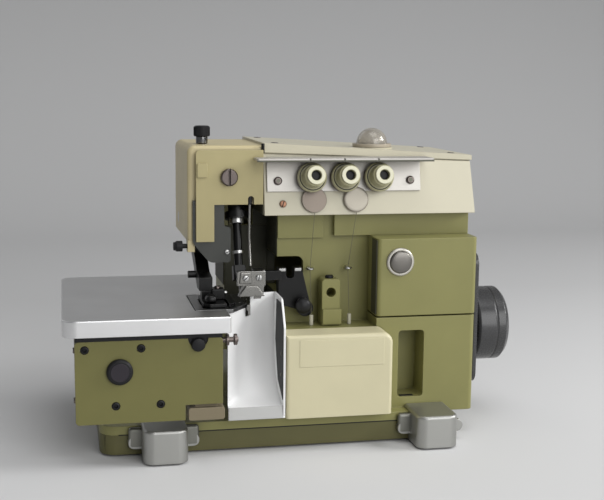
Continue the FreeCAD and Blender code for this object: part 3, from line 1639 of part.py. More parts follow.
def coil(name, radius, wire, turns, span, at, direction):
    """Wind a helical wire spring as one tube along a direction, from half circles tilted in turn."""
    reach = size(radius)
    thick = size(wire)
    count = int(size(turns))
    low = size(span[0]) + thick / 2
    pitch = (size(span[1]) - thick / 2 - low) / count

    def place(turn):
        angle = 2 * math.pi * turn
        return Vector(reach * math.cos(angle), reach * math.sin(angle), low + pitch * turn)

    halves = [step / 2 for step in range(2 * count)]
    path = Part.Wire([Part.Arc(place(t), place(t + 0.25), place(t + 0.5)).toShape() for t in halves])
    ring = Part.Wire(Part.makeCircle(thick / 2, place(0), Vector(0, 1, 0)))
    tube = path.makePipeShell([ring], True, False)
    spring = doc.addObject("Part::Feature", name)
    spring.Shape = tube
    origin = Vector(*(size(text) for text in at))
    spring.Placement = Placement(origin, Rotation(Vector(0, 0, 1), direction))
    points = path.discretize(Number=24 * count + 1)
    apart = (one.distanceToPoint(other) for n, one in enumerate(points) for other in points[n + 12:])
    print(f"{name}: least gap between turns {min(apart) - thick:.2f} mm")
    return spring


def cloth_plate():
    """Make the hollow cloth plate that swings out on its hinge post, and the post."""
    rear = "notch_rear + notch_slant"
    outline = [
        ("plate_left", "plate_front"),
        ("plate_right", "plate_front"),
        ("plate_right", "notch_front"),
        ("notch_left", "notch_front"),
        ("notch_left", "notch_rear"),
        ("plate_right", rear),
        ("plate_right", "plate_rear"),
        ("plate_left", "plate_rear"),
    ]
    slab = prism(
        "plate_slab", "xy", outline, between("plate_bottom", "plate_top"),
        rounds=[("plate_corner", [0, 7]), ("plate_edge", [1, 6])],
    )
    slab = rounded("plate_soft", slab, "plate_edge / 2", flat_at("plate_top"))
    inside = [
        ("plate_left + plate_wall", "plate_front + plate_wall"),
        ("plate_right - plate_wall", "plate_front + plate_wall"),
        ("plate_right - plate_wall", "notch_front - plate_wall"),
        ("notch_left - plate_wall", "notch_front - plate_wall"),
        ("notch_left - plate_wall", "notch_rear + plate_wall"),
        ("plate_right - plate_wall", f"{rear} + plate_wall"),
        ("plate_right - plate_wall", "plate_rear - plate_wall"),
        ("plate_left + plate_wall", "plate_rear - plate_wall"),
    ]
    pocket = prism(
        "plate_pocket", "xy", inside, between("plate_bottom - overrun", "plate_top - plate_skin"),
        rounds=[("plate_corner - plate_wall", [0, 7])],
    )
    tray = cut("plate_tray", slab, [pocket])
    boss = rod(
        "plate_boss", "z", "hinge_boss_radius", between("plate_bottom", "plate_top - plate_skin / 2"),
        ("hinge_x", "hinge_y"),
    )
    bore = rod(
        "plate_bore", "z", "hinge_pin_radius + running_gap",
        between("plate_bottom - overrun", "plate_top - plate_skin"),
        ("hinge_x", "hinge_y"),
    )
    node(cut("cloth_plate", fuse("plate_with_boss", [tray, boss]), [bore]), "cloth_plate")

    post = [
        ("0", "flange_top"),
        ("hinge_boss_radius", "flange_top"),
        ("hinge_boss_radius", "plate_bottom - seat_gap"),
        ("hinge_pin_radius", "plate_bottom - seat_gap"),
        ("hinge_pin_radius", "plate_top - plate_skin - seat_gap"),
        ("0", "plate_top - plate_skin - seat_gap"),
    ]
    node(turned("plate_hinge_post", post, ("hinge_x", "hinge_y", "0"), (0, 0, 1)), "plate_hinge_post")


def plate_skirt():
    """Make the skirt hung below the cloth plate, with its plug, latch and catch."""
    outline = [
        ("skirt_left", "skirt_bottom"),
        ("skirt_step_x", "skirt_bottom"),
        ("skirt_step_x", "skirt_step_z"),
        ("skirt_right", "skirt_step_z"),
        ("skirt_right", "skirt_top"),
        ("skirt_left", "skirt_top"),
    ]
    upper = "skirt_top - skirt_hole_drop"
    lower = "skirt_bottom + skirt_hole_rise"
    holes = [
        ("skirt_left + skirt_hole_first", upper, "skirt_hole_radius"),
        ("skirt_left + skirt_hole_third", upper, "skirt_hole_radius"),
        ("skirt_left + skirt_hole_second", lower, "skirt_hole_radius"),
        ("skirt_left + skirt_hole_fourth", lower, "skirt_hole_radius"),
        ("plug_x", "plug_z", "plug_radius - plug_lip"),
    ]
    back = "skirt_front + skirt_thick"
    skin = between("skirt_front", back)
    corners = [("skirt_thick", [0, 4, 5])]
    pieces = [prism("skirt_sheet", "xz", outline, skin, rounds=corners, holes=holes)]
    hung = between("skirt_top - overrun", "plate_top - plate_skin")
    for number, left in enumerate(("skirt_left + skirt_tab_first", "skirt_left + skirt_tab_second")):
        pieces.append(block(f"skirt_tab_{number}", between(left, f"{left} + skirt_tab"), skin, hung))
    inwards = between("skirt_front + skirt_thick / 2", "skirt_front + skirt_return")
    wing = block(
        "skirt_wing", between("skirt_left", "skirt_left + skirt_thick"), inwards,
        between("skirt_bottom + skirt_wing_rise", "skirt_top - skirt_thick / 2"),
    )
    shelf = block(
        "skirt_shelf", between("skirt_left + skirt_thick", "bed_arm_left - 2 * plate_edge"), inwards,
        between("skirt_top - skirt_thick", "skirt_top - plate_edge / 2"),
    )
    notch = rod(
        "skirt_notch", "y", "skirt_notch_radius", between("skirt_front - overrun", f"{back} + overrun"),
        ("skirt_notch_x", "skirt_top"),
    )
    node(cut("plate_skirt", fuse("skirt_solid", [*pieces, wing, shelf]), [notch]), "plate_skirt")

    plug = [
        ("0", "-skirt_thick - edge_break"),
        ("plug_radius - plug_lip", "-skirt_thick - edge_break"),
        ("plug_radius - plug_lip", "0"),
        ("plug_radius", "0"),
        ("plug_radius", "plug_proud - plug_lip"),
        ("plug_radius - plug_lip", "plug_proud"),
        ("0", "plug_proud"),
    ]
    node(turned("skirt_plug", plug, ("plug_x", "skirt_front", "plug_z"), (0, -1, 0)), "skirt_plug")


def latch_and_catch():
    """Make the sliding latch of the cloth plate, and the sprung catch on the skirt's right edge."""
    back = "skirt_front + skirt_thick"
    lever = block(
        "latch_lever", between("skirt_step_x + latch_gap", "skirt_right + latch_over"),
        between("skirt_front", f"{back} + latch_thick"),
        between("skirt_bottom - latch_over / 2", "skirt_step_z - latch_room"),
    )
    lever = rounded("latch_soft", lever, "latch_round", along("y"))
    tongue = block(
        "latch_tongue", between("skirt_step_x + tongue_inset", "skirt_right - tongue_inset / 2"),
        between(f"{back} + seat_gap", f"{back} + tongue_thick"),
        between("skirt_step_z - 2 * latch_room", "skirt_step_z + tongue_rise"),
    )
    node(fuse("plate_latch", [lever, tongue]), "plate_latch")

    centre = (f"{back} + catch_half", "skirt_top - catch_drop")
    lug = block(
        "catch_lug", between("skirt_right - catch_lug", "skirt_right - overrun"),
        between(back, f"{back} + 2 * catch_half"),
        between(f"{centre[1]} - catch_lug / 2", f"{centre[1]} + catch_half"),
    )
    reach = between("skirt_right - catch_lug / 2", "skirt_right + catch_reach")
    pieces = [lug, rod("catch_stem", "x", "catch_stem_radius", reach, centre)]
    for number in range(2):
        start = f"skirt_right + catch_half + {number} * catch_ring_pitch"
        ring = between(start, f"{start} + catch_ring_width")
        pieces.append(rod(f"catch_ring_{number}", "x", "catch_ring_radius", ring, centre))
    node(fuse("plate_catch", pieces), "plate_catch")


def chute_section(x, wall):
    """Give the closed section of the chute sheet at one place along its width."""
    x = size(x)
    wall_y = size(wall)
    front = size("chute_front")
    thick = size("chute_wall")
    floor = size("chute_floor")
    top = size("chute_top")
    bottom = floor - size("chute_lip")
    edge = front + size("chute_lip_lean")
    bend = wall_y - edge
    high = floor + bend
    half = math.sqrt(0.5)

    def point(y, z):
        return Vector(x, y, z)

    def turn(radius):
        return point(edge + radius * half, high - radius * half)

    outer = bend + thick
    edges = [
        Part.LineSegment(point(wall_y, top), point(wall_y, high)),
        Part.Arc(point(wall_y, high), turn(bend), point(edge, floor)),
        Part.LineSegment(point(edge, floor), point(front, bottom)),
        Part.LineSegment(point(front, bottom), point(front + thick, bottom)),
        Part.LineSegment(point(front + thick, bottom), point(edge, floor - thick)),
        Part.Arc(point(edge, floor - thick), turn(outer), point(wall_y + thick, high)),
        Part.LineSegment(point(wall_y + thick, high), point(wall_y + thick, top)),
        Part.LineSegment(point(wall_y + thick, top), point(wall_y, top)),
    ]
    return Part.Wire([piece.toShape() for piece in edges])


def waste_chute():
    """Make the scooped waste chute with its side fin and the slot for the lower knife."""
    places = [
        ("chute_left", "chute_left_y"),
        ("needle_plate_right - plate_gap", "needle_plate_corner_y"),
        ("chute_bend_x", "chute_bend_y"),
        ("chute_right", "chute_right_y"),
    ]
    scoop = doc.addObject("Part::Feature", "chute_scoop")
    scoop.Shape = Part.makeLoft([chute_section(x, wall) for x, wall in places], True, False)
    rear = "chute_right_y + chute_wall"
    fin_outline = [
        ("chute_front", "fin_bottom"),
        ("panel_front", "fin_bottom"),
        ("panel_front", "fin_rear_low"),
        (rear, "fin_rear_high"),
        (rear, "chute_top"),
        ("fin_top_y", "chute_top"),
        ("chute_front", "fin_front_top"),
    ]
    side = between("chute_right - chute_wall", "chute_right")
    fin = prism("chute_fin", "yz", fin_outline, side, rounds=[("fin_round", [5, 6])])
    slot_right = "lower_blade_left + lower_blade_thick + overrun"
    depth = between("chute_front", "panel_front")
    slot = block(
        "chute_slot", between("lower_blade_left - 2 * overrun", slot_right), depth,
        between("plate_top - plate_skin - chute_slot_depth", "chute_top + overrun"),
    )
    under = block(
        "chute_under_plate", between("chute_left - overrun", slot_right), depth,
        between("plate_top - plate_skin - plate_gap", "chute_top + overrun"),
    )
    node(cut("waste_chute", fuse("chute_solid", [scoop, fin]), [slot, under]), "waste_chute")


def on_front_face(edge):
    """Choose the edges round the looper cover's front, apart from its lower one."""
    front = size("cover_front")
    low = size("cover_bottom")
    ends = [vertex.Point for vertex in edge.Vertexes]
    return all(abs(end.y - front) < 0.01 for end in ends) and any(end.z > low + 0.01 for end in ends)


def looper_cover():
    """Make the tip-down looper cover and the hinge it turns on."""
    shell = block(
        "cover_shell", between("cover_left", "cover_right"),
        between("cover_front", "body_front - cover_gap"),
        between("cover_bottom", "cover_top"),
    )
    shell = rounded("cover_corner_soft", shell, "cover_corner", along("y", ("cover_right", "cover_top")))
    shell = rounded("cover_front_soft", shell, "cover_round", on_front_face)
    inner_right = "cover_right - cover_wall"
    inner_top = "cover_top - cover_wall"
    hollow = block(
        "cover_hollow", between("cover_left + cover_wall", inner_right),
        between("cover_front + cover_wall", "body_front"), between("cover_bottom - overrun", inner_top),
    )
    inner_round = "cover_corner - cover_wall"
    hollow = rounded("cover_hollow_soft", hollow, inner_round, along("y", (inner_right, inner_top)))
    pieces = [cut("cover_case", shell, [hollow])]
    axis = ("cover_pin_y", "cover_pin_z")
    lefts = ("bay_left + cover_ear_inset", "door_left - cover_ear_inset - cover_ear")
    for number, left in enumerate(lefts):
        ear = block(
            f"cover_ear_{number}", between(left, f"{left} + cover_ear"),
            between("cover_front + overrun", "cover_pin_y + cover_ear_half"),
            between("cover_pin_z - cover_ear_half", "cover_pin_z + cover_ear_half"),
        )
        pieces.append(ear)
    bore = rod("cover_bore", "x", "cover_pin_radius + running_gap", between("bay_left", "door_left"), axis)
    node(cut("looper_cover", fuse("cover_solid", pieces), [bore]), "looper_cover")

    left_end = "bay_left + hinge_inset"
    right_end = "door_left - hinge_inset"
    pieces = [rod("cover_pin", "x", "cover_pin_radius", between(left_end, right_end), axis)]
    for number, left in enumerate((left_end, f"{right_end} - hinge_arm")):
        width = between(left, f"{left} + hinge_arm")
        arm = block(
            f"hinge_arm_{number}", width, between("cover_pin_y", "body_front"),
            between("cover_pin_z", "cover_pin_z + hinge_arm"),
        )
        pieces += [arm, rod(f"hinge_eye_{number}", "x", "hinge_eye_radius", width, axis)]
    node(fuse("cover_hinge", pieces), "cover_hinge")


def leaning_front(z):
    """Give the Y of the housing's leaning front at a height."""
    return f"(housing_front + housing_lean * (({z}) - casting_top) / (housing_top_left - casting_top))"


def on_front(name, profile, x, z):
    """Turn a profile that stands square on the leaning front of the housing."""
    out = (0, size("casting_top - housing_top_left"), size("housing_lean"))
    return turned(name, profile, (x, leaning_front(z), z), out)


def tension_bracket(posts):
    """Make the bracket with its lip and riveted posts, and the two screws that hold it."""
    low = "bracket_bottom"
    high = "bracket_bottom + bracket_height - bracket_sheet"
    back = [
        (leaning_front(low), low),
        (f"{leaning_front(low)} - bracket_sheet", low),
        (f"{leaning_front(high)} - bracket_sheet", high),
        (leaning_front(high), high),
    ]
    plate = prism("bracket_back", "yz", back, between("bracket_left", "bracket_right"))
    lip_front = f"{leaning_front(high)} - lip_reach"
    lip_rear = "housing_front + housing_lean - lid_overhang - seat_gap"
    clear = "head_front - guard_plate - face_thick - lip_margin"
    shelf = [
        ("lip_left", lip_front),
        ("lip_right", lip_front),
        ("lip_right", lip_rear),
        ("bracket_left", lip_rear),
        ("bracket_left", clear),
        ("lip_left", clear),
    ]
    level = between(high, f"{high} + bracket_sheet")
    lip = prism("bracket_lip", "xy", shelf, level, rounds=[("bracket_sheet", [0, 1])])
    screw_xs = ("bracket_left + bracket_screw_inset", "bracket_right - bracket_screw_inset")
    screw_z = "bracket_bottom + bracket_screw_rise"
    hole = plain("bracket_screw_radius", "0", "2 * bracket_sheet")
    holes = [on_front(f"screw_hole_{n}", hole, x, screw_z) for n, x in enumerate(screw_xs)]
    slits = []
    for number in range(3):
        left = f"tension_first_x + {number} * tension_pitch - lip_slit_offset"
        slits.append(
            block(
                f"lip_slit_{number}", between(left, f"{left} + lip_slit"),
                between(f"{lip_front} - overrun", f"{lip_front} + lip_slit_depth"),
                between(f"{high} - overrun", f"{high} + bracket_sheet + overrun"),
            ),
        )
    drilled = cut("bracket_drilled", fuse("bracket_solid", [plate, lip]), holes + slits)
    node(fuse("tension_bracket", [drilled, *posts]), "tension_bracket")

    head_top = "bracket_sheet + bracket_screw_height"
    screw = [
        ("0", "0"),
        ("bracket_screw_radius", "0"),
        ("bracket_screw_radius", "bracket_sheet"),
        ("2 * bracket_screw_radius", "bracket_sheet"),
        ("2 * bracket_screw_radius", f"{head_top} - edge_break"),
        ("2 * bracket_screw_radius - edge_break", head_top),
        ("0", head_top),
    ]
    screws = [on_front(f"bracket_screw_{n}", screw, x, screw_z) for n, x in enumerate(screw_xs)]
    node(group("bracket_screws", screws), "bracket_screws")


def knob_profile(inner, cavity):
    """Give the profile of a tension knob: flange, sleeve, end ring and eye, hollow for its spring."""
    flange = "bracket_sheet + tension_stand"
    flange_top = f"{flange} + tension_flange_thick"
    return [
        ("tension_ring_radius", flange),
        ("tension_flange_radius", flange),
        ("tension_flange_radius", f"{flange_top} - edge_break"),
        ("tension_flange_radius - edge_break", flange_top),
        ("tension_sleeve_radius", flange_top),
        ("tension_sleeve_radius", "tension_length - tension_shoulder"),
        ("tension_ring_radius", "tension_length - tension_shoulder + tension_step"),
        ("tension_ring_radius", "tension_length"),
        ("tension_eye_radius", "tension_length"),
        ("tension_eye_radius", "tension_length - tension_eye_depth"),
        (inner, "tension_length - tension_eye_depth"),
        (inner, cavity),
        ("tension_ring_radius", cavity),
    ]


def tension_unit():
    """Make the three tension sets of discs, spring and knob, and the bracket they stand on."""
    posts = []
    discs = []
    springs = []
    inner = "tension_post_radius + running_gap"
    waist = "bracket_sheet + tension_disc_thick"
    disc_top = "bracket_sheet + tension_disc_thick * 2"
    disc = [
        (inner, "bracket_sheet"),
        ("tension_disc_radius", "bracket_sheet"),
        ("tension_disc_radius", "bracket_sheet + tension_disc_thick / 2"),
        ("tension_disc_radius * 0.7", waist),
        ("tension_disc_radius", f"{waist} + tension_disc_thick / 2"),
        ("tension_disc_radius", disc_top),
        (inner, disc_top),
    ]
    cavity = "tension_length - tension_cap"
    knob = knob_profile(inner, cavity)
    post = plain("tension_post_radius", "0", "tension_length - tension_cap / 2")
    run = between(f"{disc_top} + seat_gap", f"{cavity} - seat_gap")
    out = Vector(0, size("casting_top - housing_top_left"), size("housing_lean"))
    for number, side in enumerate(("left", "middle", "right")):
        x = f"tension_first_x + {number} * tension_pitch"
        posts.append(on_front(f"tension_post_{number}", post, x, "tension_z"))
        discs.append(on_front(f"tension_disc_{number}", disc, x, "tension_z"))
        place = (x, leaning_front("tension_z"), "tension_z")
        wire = ("tension_coil_radius", "tension_coil_wire", "tension_coil_turns")
        springs.append(coil(f"tension_coil_{number}", *wire, run, place, out))
        node(on_front(f"tension_knob_{side}", knob, x, "tension_z"), f"tension_knob_{side}")
    tension_bracket(posts)

    rim = "pretension_stand + pretension_dish"
    crown = f"{rim} + pretension_thick"
    small = [
        ("0", "0"),
        ("tension_post_radius", "0"),
        ("tension_post_radius", "pretension_stand"),
        ("pretension_radius", rim),
        ("pretension_radius", f"{rim} + pretension_thick / 2"),
        ("pretension_radius - pretension_thick / 2", crown),
        ("0", crown),
    ]
    discs += [on_front(f"small_disc_{n}", small, x, "pretension_z") for n, x in enumerate(SMALL_DISC_XS)]
    node(group("tension_discs", discs), "tension_discs")
    node(group("tension_springs", springs), "tension_springs")


def thread_guides():
    """Make the thread eyelets, tubes and guide block, and the two looper threads."""
    tube_xs = ("thread_left_x", "thread_right_x")
    eyelets = []
    tubes = []
    threads = []
    tilt = Vector(0, size("casting_top - housing_top_left"), size("housing_lean")).normalize()
    for number, (disc_x, tube_x) in enumerate(zip(SMALL_DISC_XS, tube_xs)):
        ring = doc.addObject("Part::Torus", f"eyelet_ring_{number}")
        ring.setExpression("Radius1", formula("eyelet_radius"))
        ring.setExpression("Radius2", formula("eyelet_wire"))
        for letter, text in zip("xyz", (tube_x, EYELET_Y, "eyelet_z")):
            ring.setExpression(f"Placement.Base.{letter}", formula(text))
        stem = rod(
            f"eyelet_stem_{number}", "y", "eyelet_wire",
            between(f"{EYELET_Y} + eyelet_radius", "panel_front"), (tube_x, "eyelet_z"),
        )
        eyelets.append(fuse(f"thread_eyelet_{number}", [ring, stem]))
        tube_top = "bay_top + thread_tube_height"
        tubes.append(
            rod(
                f"thread_tube_{number}", "z", "thread_tube_radius", between("bay_top", tube_top),
                (tube_x, "thread_tube_y"),
            ),
        )

        reach = size("pretension_radius + thread_radius")
        disc = Vector(size(disc_x), size(leaning_front("pretension_z")), size("pretension_z"))
        start = disc + tilt * size(DISC_THREAD) - Vector(0, tilt.z, -tilt.y) * reach
        middle = Vector(size(tube_x), size(EYELET_Y), size("eyelet_z"))
        end = Vector(size(tube_x), size("thread_tube_y"), size(tube_top))
        thick = size("thread_radius")
        upper = Part.makeCylinder(thick, (middle - start).Length, start, middle - start)
        lower = Part.makeCylinder(thick, (end - middle).Length, middle, end - middle)
        strand = doc.addObject("Part::Feature", f"looper_thread_{number}")
        strand.Shape = upper.fuse(Part.makeSphere(thick, middle)).fuse(lower)
        threads.append(strand)
    node(group("thread_eyelets", eyelets), "thread_eyelets")
    node(group("thread_tubes", tubes), "thread_tubes")
    node(group("looper_threads", threads), "looper_threads")

    depth = between("guide_front", "guide_front + guide_depth")
    lump = block("guide_lump", between("guide_left", "guide_right"), depth, between("bay_top", "guide_top"))
    lump = rounded(
        "guide_soft", lump, "guide_round",
        along("y", ("guide_left", "guide_top"), ("guide_right", "guide_top")),
    )
    eye = rod(
        "guide_eye", "y", "guide_hole_radius",
        between("guide_front - overrun", "guide_front + guide_depth + overrun"),
        ("(guide_left + guide_right) / 2", "guide_top - guide_hole_drop"),
    )
    node(cut("thread_guide_block", lump, [eye]), "thread_guide_block")


def side_door():
    """Make the side door, and the push button in it with its bezel and return spring."""
    shell = block(
        "door_shell", between("door_left", "body_right"), between("body_front", "panel_front"),
        between("door_bottom", "door_top"),
    )
    soft = along("z", ("door_left", "body_front"), ("body_right", "body_front"))
    shell = rounded("door_soft", shell, "door_round", soft)
    hollow = block(
        "door_hollow", between("door_left + door_wall", "body_right - door_wall"),
        between("body_front + door_wall", "panel_front + overrun"),
        between("door_bottom + door_wall", "door_top - door_wall"),
    )
    hole = rod(
        "door_hole", "y", "button_radius + running_gap",
        between("body_front - overrun", "body_front + 2 * door_wall"), ("button_x", "button_z"),
    )
    node(cut("side_door", shell, [hollow, hole]), "side_door")

    place = ("button_x", "body_front", "button_z")
    forward = (0, -1, 0)
    bezel = [
        ("button_radius + running_gap", "0"),
        ("bezel_radius", "0"),
        ("bezel_radius", "bezel_proud / 2"),
        ("bezel_radius - edge_break", "bezel_proud"),
        ("button_radius + running_gap", "bezel_proud"),
    ]
    node(turned("button_bezel", bezel, place, forward), "button_bezel")

    face = "bezel_proud + button_proud"
    stop = "-door_wall - seat_gap"
    tail = f"{face} - button_length"
    button = [
        ("0", tail),
        ("button_radius", tail),
        ("button_radius", f"{stop} - button_flange"),
        ("bezel_radius - edge_break", f"{stop} - button_flange"),
        ("bezel_radius - edge_break", stop),
        ("button_radius", stop),
        ("button_radius", f"{face} - button_dome"),
        ("0.85 * button_radius", f"{face} - 0.4 * button_dome"),
        ("0.5 * button_radius", f"{face} - 0.1 * button_dome"),
        ("0", face),
    ]
    node(turned("push_button", button, place, forward), "push_button")
    run = between("seat_gap", f"panel_front - body_front + {tail} - seat_gap")
    seat = ("button_x", "panel_front", "button_z")
    wire = ("button_spring_radius", "spring_wire", "button_spring_turns")
    node(coil("button_spring", *wire, run, seat, Vector(*forward)), "button_spring")


for make in (
    base, casting, plain_bushes, main_shaft, handwheel, belt_guard, connecting_rod, upper_housing,
    lid_and_gasket, head, needle_drive, needle_plate, feed_dogs, loopers, upper_knife, lower_knife,
    presser_arm, presser_foot, pressure_screw, cloth_plate, plate_skirt, latch_and_catch, waste_chute,
    looper_cover, tension_unit, thread_guides, side_door,
):
    make()
doc.recompute()

for thing in doc.Objects:
    if {"Invalid", "Error"} & set(thing.State):
        raise RuntimeError(f"{thing.Name} did not build: {thing.State}")
for piece in NODES:
    if piece.Shape.isNull() or not piece.Shape.isValid() or not piece.Shape.Solids:
        raise RuntimeError(f"{piece.Label} is not a sound solid")

os.makedirs("parts", exist_ok=True)
for piece in NODES:
    piece.Shape.exportStep(f"parts/{piece.Label}.step")
print(f"{len(NODES)} pieces written")
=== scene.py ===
"""Looks of an overlock sewing machine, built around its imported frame.

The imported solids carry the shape. This script softens their edges, gives every one a
procedural finish, and adds the small screws, trims and fittings that the photograph shows.
"""
import json
import logging
import math
from dataclasses import dataclass, field, replace
from enum import Enum

import bmesh
import bpy
from mathutils import Matrix, Vector


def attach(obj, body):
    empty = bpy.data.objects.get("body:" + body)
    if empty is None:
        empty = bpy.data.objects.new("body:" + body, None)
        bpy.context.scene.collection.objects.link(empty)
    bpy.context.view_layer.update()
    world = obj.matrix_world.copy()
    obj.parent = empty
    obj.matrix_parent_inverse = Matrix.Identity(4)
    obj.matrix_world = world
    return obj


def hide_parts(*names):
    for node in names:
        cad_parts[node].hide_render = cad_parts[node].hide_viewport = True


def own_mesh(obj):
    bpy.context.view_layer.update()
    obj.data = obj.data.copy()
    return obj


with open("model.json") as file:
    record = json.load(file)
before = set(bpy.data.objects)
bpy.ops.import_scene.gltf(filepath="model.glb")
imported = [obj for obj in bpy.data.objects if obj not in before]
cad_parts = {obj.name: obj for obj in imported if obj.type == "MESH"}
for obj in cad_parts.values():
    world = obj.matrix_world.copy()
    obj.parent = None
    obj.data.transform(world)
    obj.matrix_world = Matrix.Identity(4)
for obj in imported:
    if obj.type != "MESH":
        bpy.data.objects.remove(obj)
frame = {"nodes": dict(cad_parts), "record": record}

LOG = logging.getLogger("overlock")
MM = 0.001
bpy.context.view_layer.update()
IMAGE_WIDTH = 604

Colour = tuple[float, float, float]
Point = tuple[float, float, float]
Profile = tuple[tuple[float, float], ...]
Shape = bmesh.types.BMesh
Socket = bpy.types.NodeSocket

ORIGIN: Point = (0.0, 0.0, 0.0)
EVEN: Point = (1.0, 1.0, 1.0)
AHEAD: Point = (0.0, -1.0, 0.0)
LEFT: Point = (-1.0, 0.0, 0.0)
RIGHT: Point = (1.0, 0.0, 0.0)
UP: Point = (0.0, 0.0, 1.0)
FRAME = "machine_frame"
SWING = "swing_plate"
KNIFE = "upper_knife_body"
PRESSER = "presser"
PRESSURE = "pressure_setting"


class Surface(Enum):
    """Kind of surface that a finish describes."""

    PAINT = "paint"
    METAL = "metal"
    PLASTIC = "plastic"
    CLEAR = "clear"
    THREAD = "thread"


@dataclass(frozen=True)
class Finish:
    """Look of one material.

    Args:
        name: name of the material.
        kind: kind of surface.
        colour: base colour, linear.
        slot: material slot of the record that the finish belongs to; not used.
        roughness: mean roughness.
        mottle: share by which the colour varies over the surface.
        grain: size of the surface grain in millimetres.
        relief: height of the grain in millimetres.
        corner_shade: share of painted shade in the corners, darkened by ambient occlusion.
        wear: share of worn edge.
        worn: colour of the worn edge.
        brush: direction of brushing, as a stretch of the grain along X, Y and Z.
        clear: share of light that passes through.
        metallic: share of bare metal, on a metal.
        shine: strength of the gloss, on the other kinds.
    """

    name: str
    kind: Surface
    colour: Colour
    slot: str
    roughness: float = 0.4
    mottle: float = 0.08
    grain: float = 1.2
    relief: float = 0.03
    corner_shade: float = 0.35
    wear: float = 0.0
    worn: Colour = (0.5, 0.48, 0.4)
    brush: Point = (1.0, 1.0, 1.0)
    clear: float = 0.0
    metallic: float = 1.0
    shine: float = 0.5


PAINT, METAL, PLASTIC, CLEAR, FIBRE = Surface

CREAM = Finish(
    "cream_enamel", PAINT, (0.575, 0.54, 0.41), "cream_paint", 0.36, 0.06,
    wear=0.5, worn=(0.42, 0.36, 0.24), shine=0.4,
)
COVER_CREAM = Finish(
    "cover_enamel", PAINT, (0.61, 0.565, 0.375), "cream_paint", 0.38, 0.07,
    wear=0.5, worn=(0.72, 0.68, 0.52), shine=0.35,
)
HEAD_CREAM = Finish(
    "head_enamel", PAINT, (0.56, 0.48, 0.275), "cream_paint", 0.38, 0.1,
    wear=0.6, worn=(0.30, 0.24, 0.13), shine=0.35,
)
FACE_CREAM = Finish(
    "face_enamel", PAINT, (0.425, 0.37, 0.19), "cream_paint", 0.4, 0.14,
    wear=0.7, worn=(0.55, 0.48, 0.32), shine=0.3,
)
GREEN = Finish(
    "olive_enamel", PAINT, (0.235, 0.225, 0.082), "green_paint", 0.4, 0.1,
    wear=0.75, worn=(0.42, 0.40, 0.22), shine=0.35,
)
PAN_GREEN = Finish(
    "shaded_olive_enamel", PAINT, (0.115, 0.108, 0.042), "green_paint", 0.42, 0.14,
    wear=0.6, worn=(0.24, 0.22, 0.12), shine=0.3,
)
# Darker copy of the olive enamel for the skirt: painted shade on the skirt below the cloth plate.
SHADED_SKIRT_GREEN = Finish(
    "shaded_skirt_enamel", PAINT, (0.162, 0.153, 0.051), "green_paint", 0.4, 0.12,
    wear=0.85, worn=(0.34, 0.30, 0.17), shine=0.3,
)
SILVER_PAINT = Finish(
    "aluminium_paint", METAL, (0.42, 0.42, 0.40), "silver_paint", 0.46, 0.08, 0.6, 0.03, 0.3,
)
WEB_SILVER = Finish(
    "shaded_aluminium_paint", METAL, (0.24, 0.24, 0.215), "silver_paint", 0.5, 0.12, 0.6, 0.03, 0.5,
)
PLATE = Finish(
    "polished_plate", METAL, (0.83, 0.83, 0.83), "bright_steel", 0.32, 0.06, 0.5, 0.006, 0.2,
    brush=(0.05, 1.0, 1.0),
)
# Darker copy of the plate steel for the cloth plate's top faces: painted shade, standing for the darker
# reflection that the top catches.
SHADED_PLATE_TOP = Finish(
    "shaded_plate_top", METAL, (0.70, 0.70, 0.70), "bright_steel", 0.34, 0.08, 0.5, 0.006, 0.2,
    brush=(0.05, 1.0, 1.0),
)
NEEDLE_STEEL = replace(SHADED_PLATE_TOP, name="needle_plate_steel", colour=(0.19, 0.19, 0.19))
# Darker copy of the chute's steel for the front of its lip: painted shade.
SHADED_LIP = Finish(
    "shaded_chute_lip_steel", METAL, (0.42, 0.42, 0.41), "bright_steel", 0.46, 0.06, 0.5, 0.006, 0.3,
    brush=(0.06, 1.0, 1.0), metallic=0.4,
)
CHUTE = Finish(
    "pale_chute", METAL, (0.92, 0.92, 0.91), "bright_steel", 0.5, 0.04, 0.5, 0.006, 0.3,
    brush=(1.0, 1.0, 0.06), metallic=0.25, shine=0.6,
)
BRACKET = Finish(
    "brushed_bracket", METAL, (0.53, 0.51, 0.475), "bright_steel", 0.46, 0.08, 0.5, 0.006, 0.7,
    brush=(0.06, 1.0, 1.0), metallic=0.6,
)
STEEL = Finish(
    "ground_steel", METAL, (0.50, 0.50, 0.49), "bright_steel", 0.3, 0.14, 0.35, 0.006, 0.45,
    brush=(1.0, 1.0, 0.1),
)
WORKED_STEEL = Finish(
    "oiled_steel", METAL, (0.25, 0.245, 0.23), "bright_steel", 0.28, 0.25, 3.0, 0.006, 0.7,
    wear=0.9, worn=(0.72, 0.71, 0.68),
)
SATIN = Finish("satin_button", METAL, (0.19, 0.18, 0.165), "bright_steel", 0.36, 0.1, 0.4, 0.006, 0.3)
RIM = Finish(
    "bright_rim", METAL, (0.52, 0.50, 0.45), "bright_steel", 0.38, 0.12, 0.4, 0.006, 0.3,
    metallic=0.85,
)
# Beige nickel, darkened to the shade that falls on the left disc: partly painted shade.
NICKEL = Finish(
    "beige_nickel", METAL, (0.25, 0.21, 0.175), "bright_steel", 0.48, 0.2, 0.4, 0.01, 0.4,
    wear=0.8, worn=(0.6, 0.57, 0.5), metallic=0.5,
)
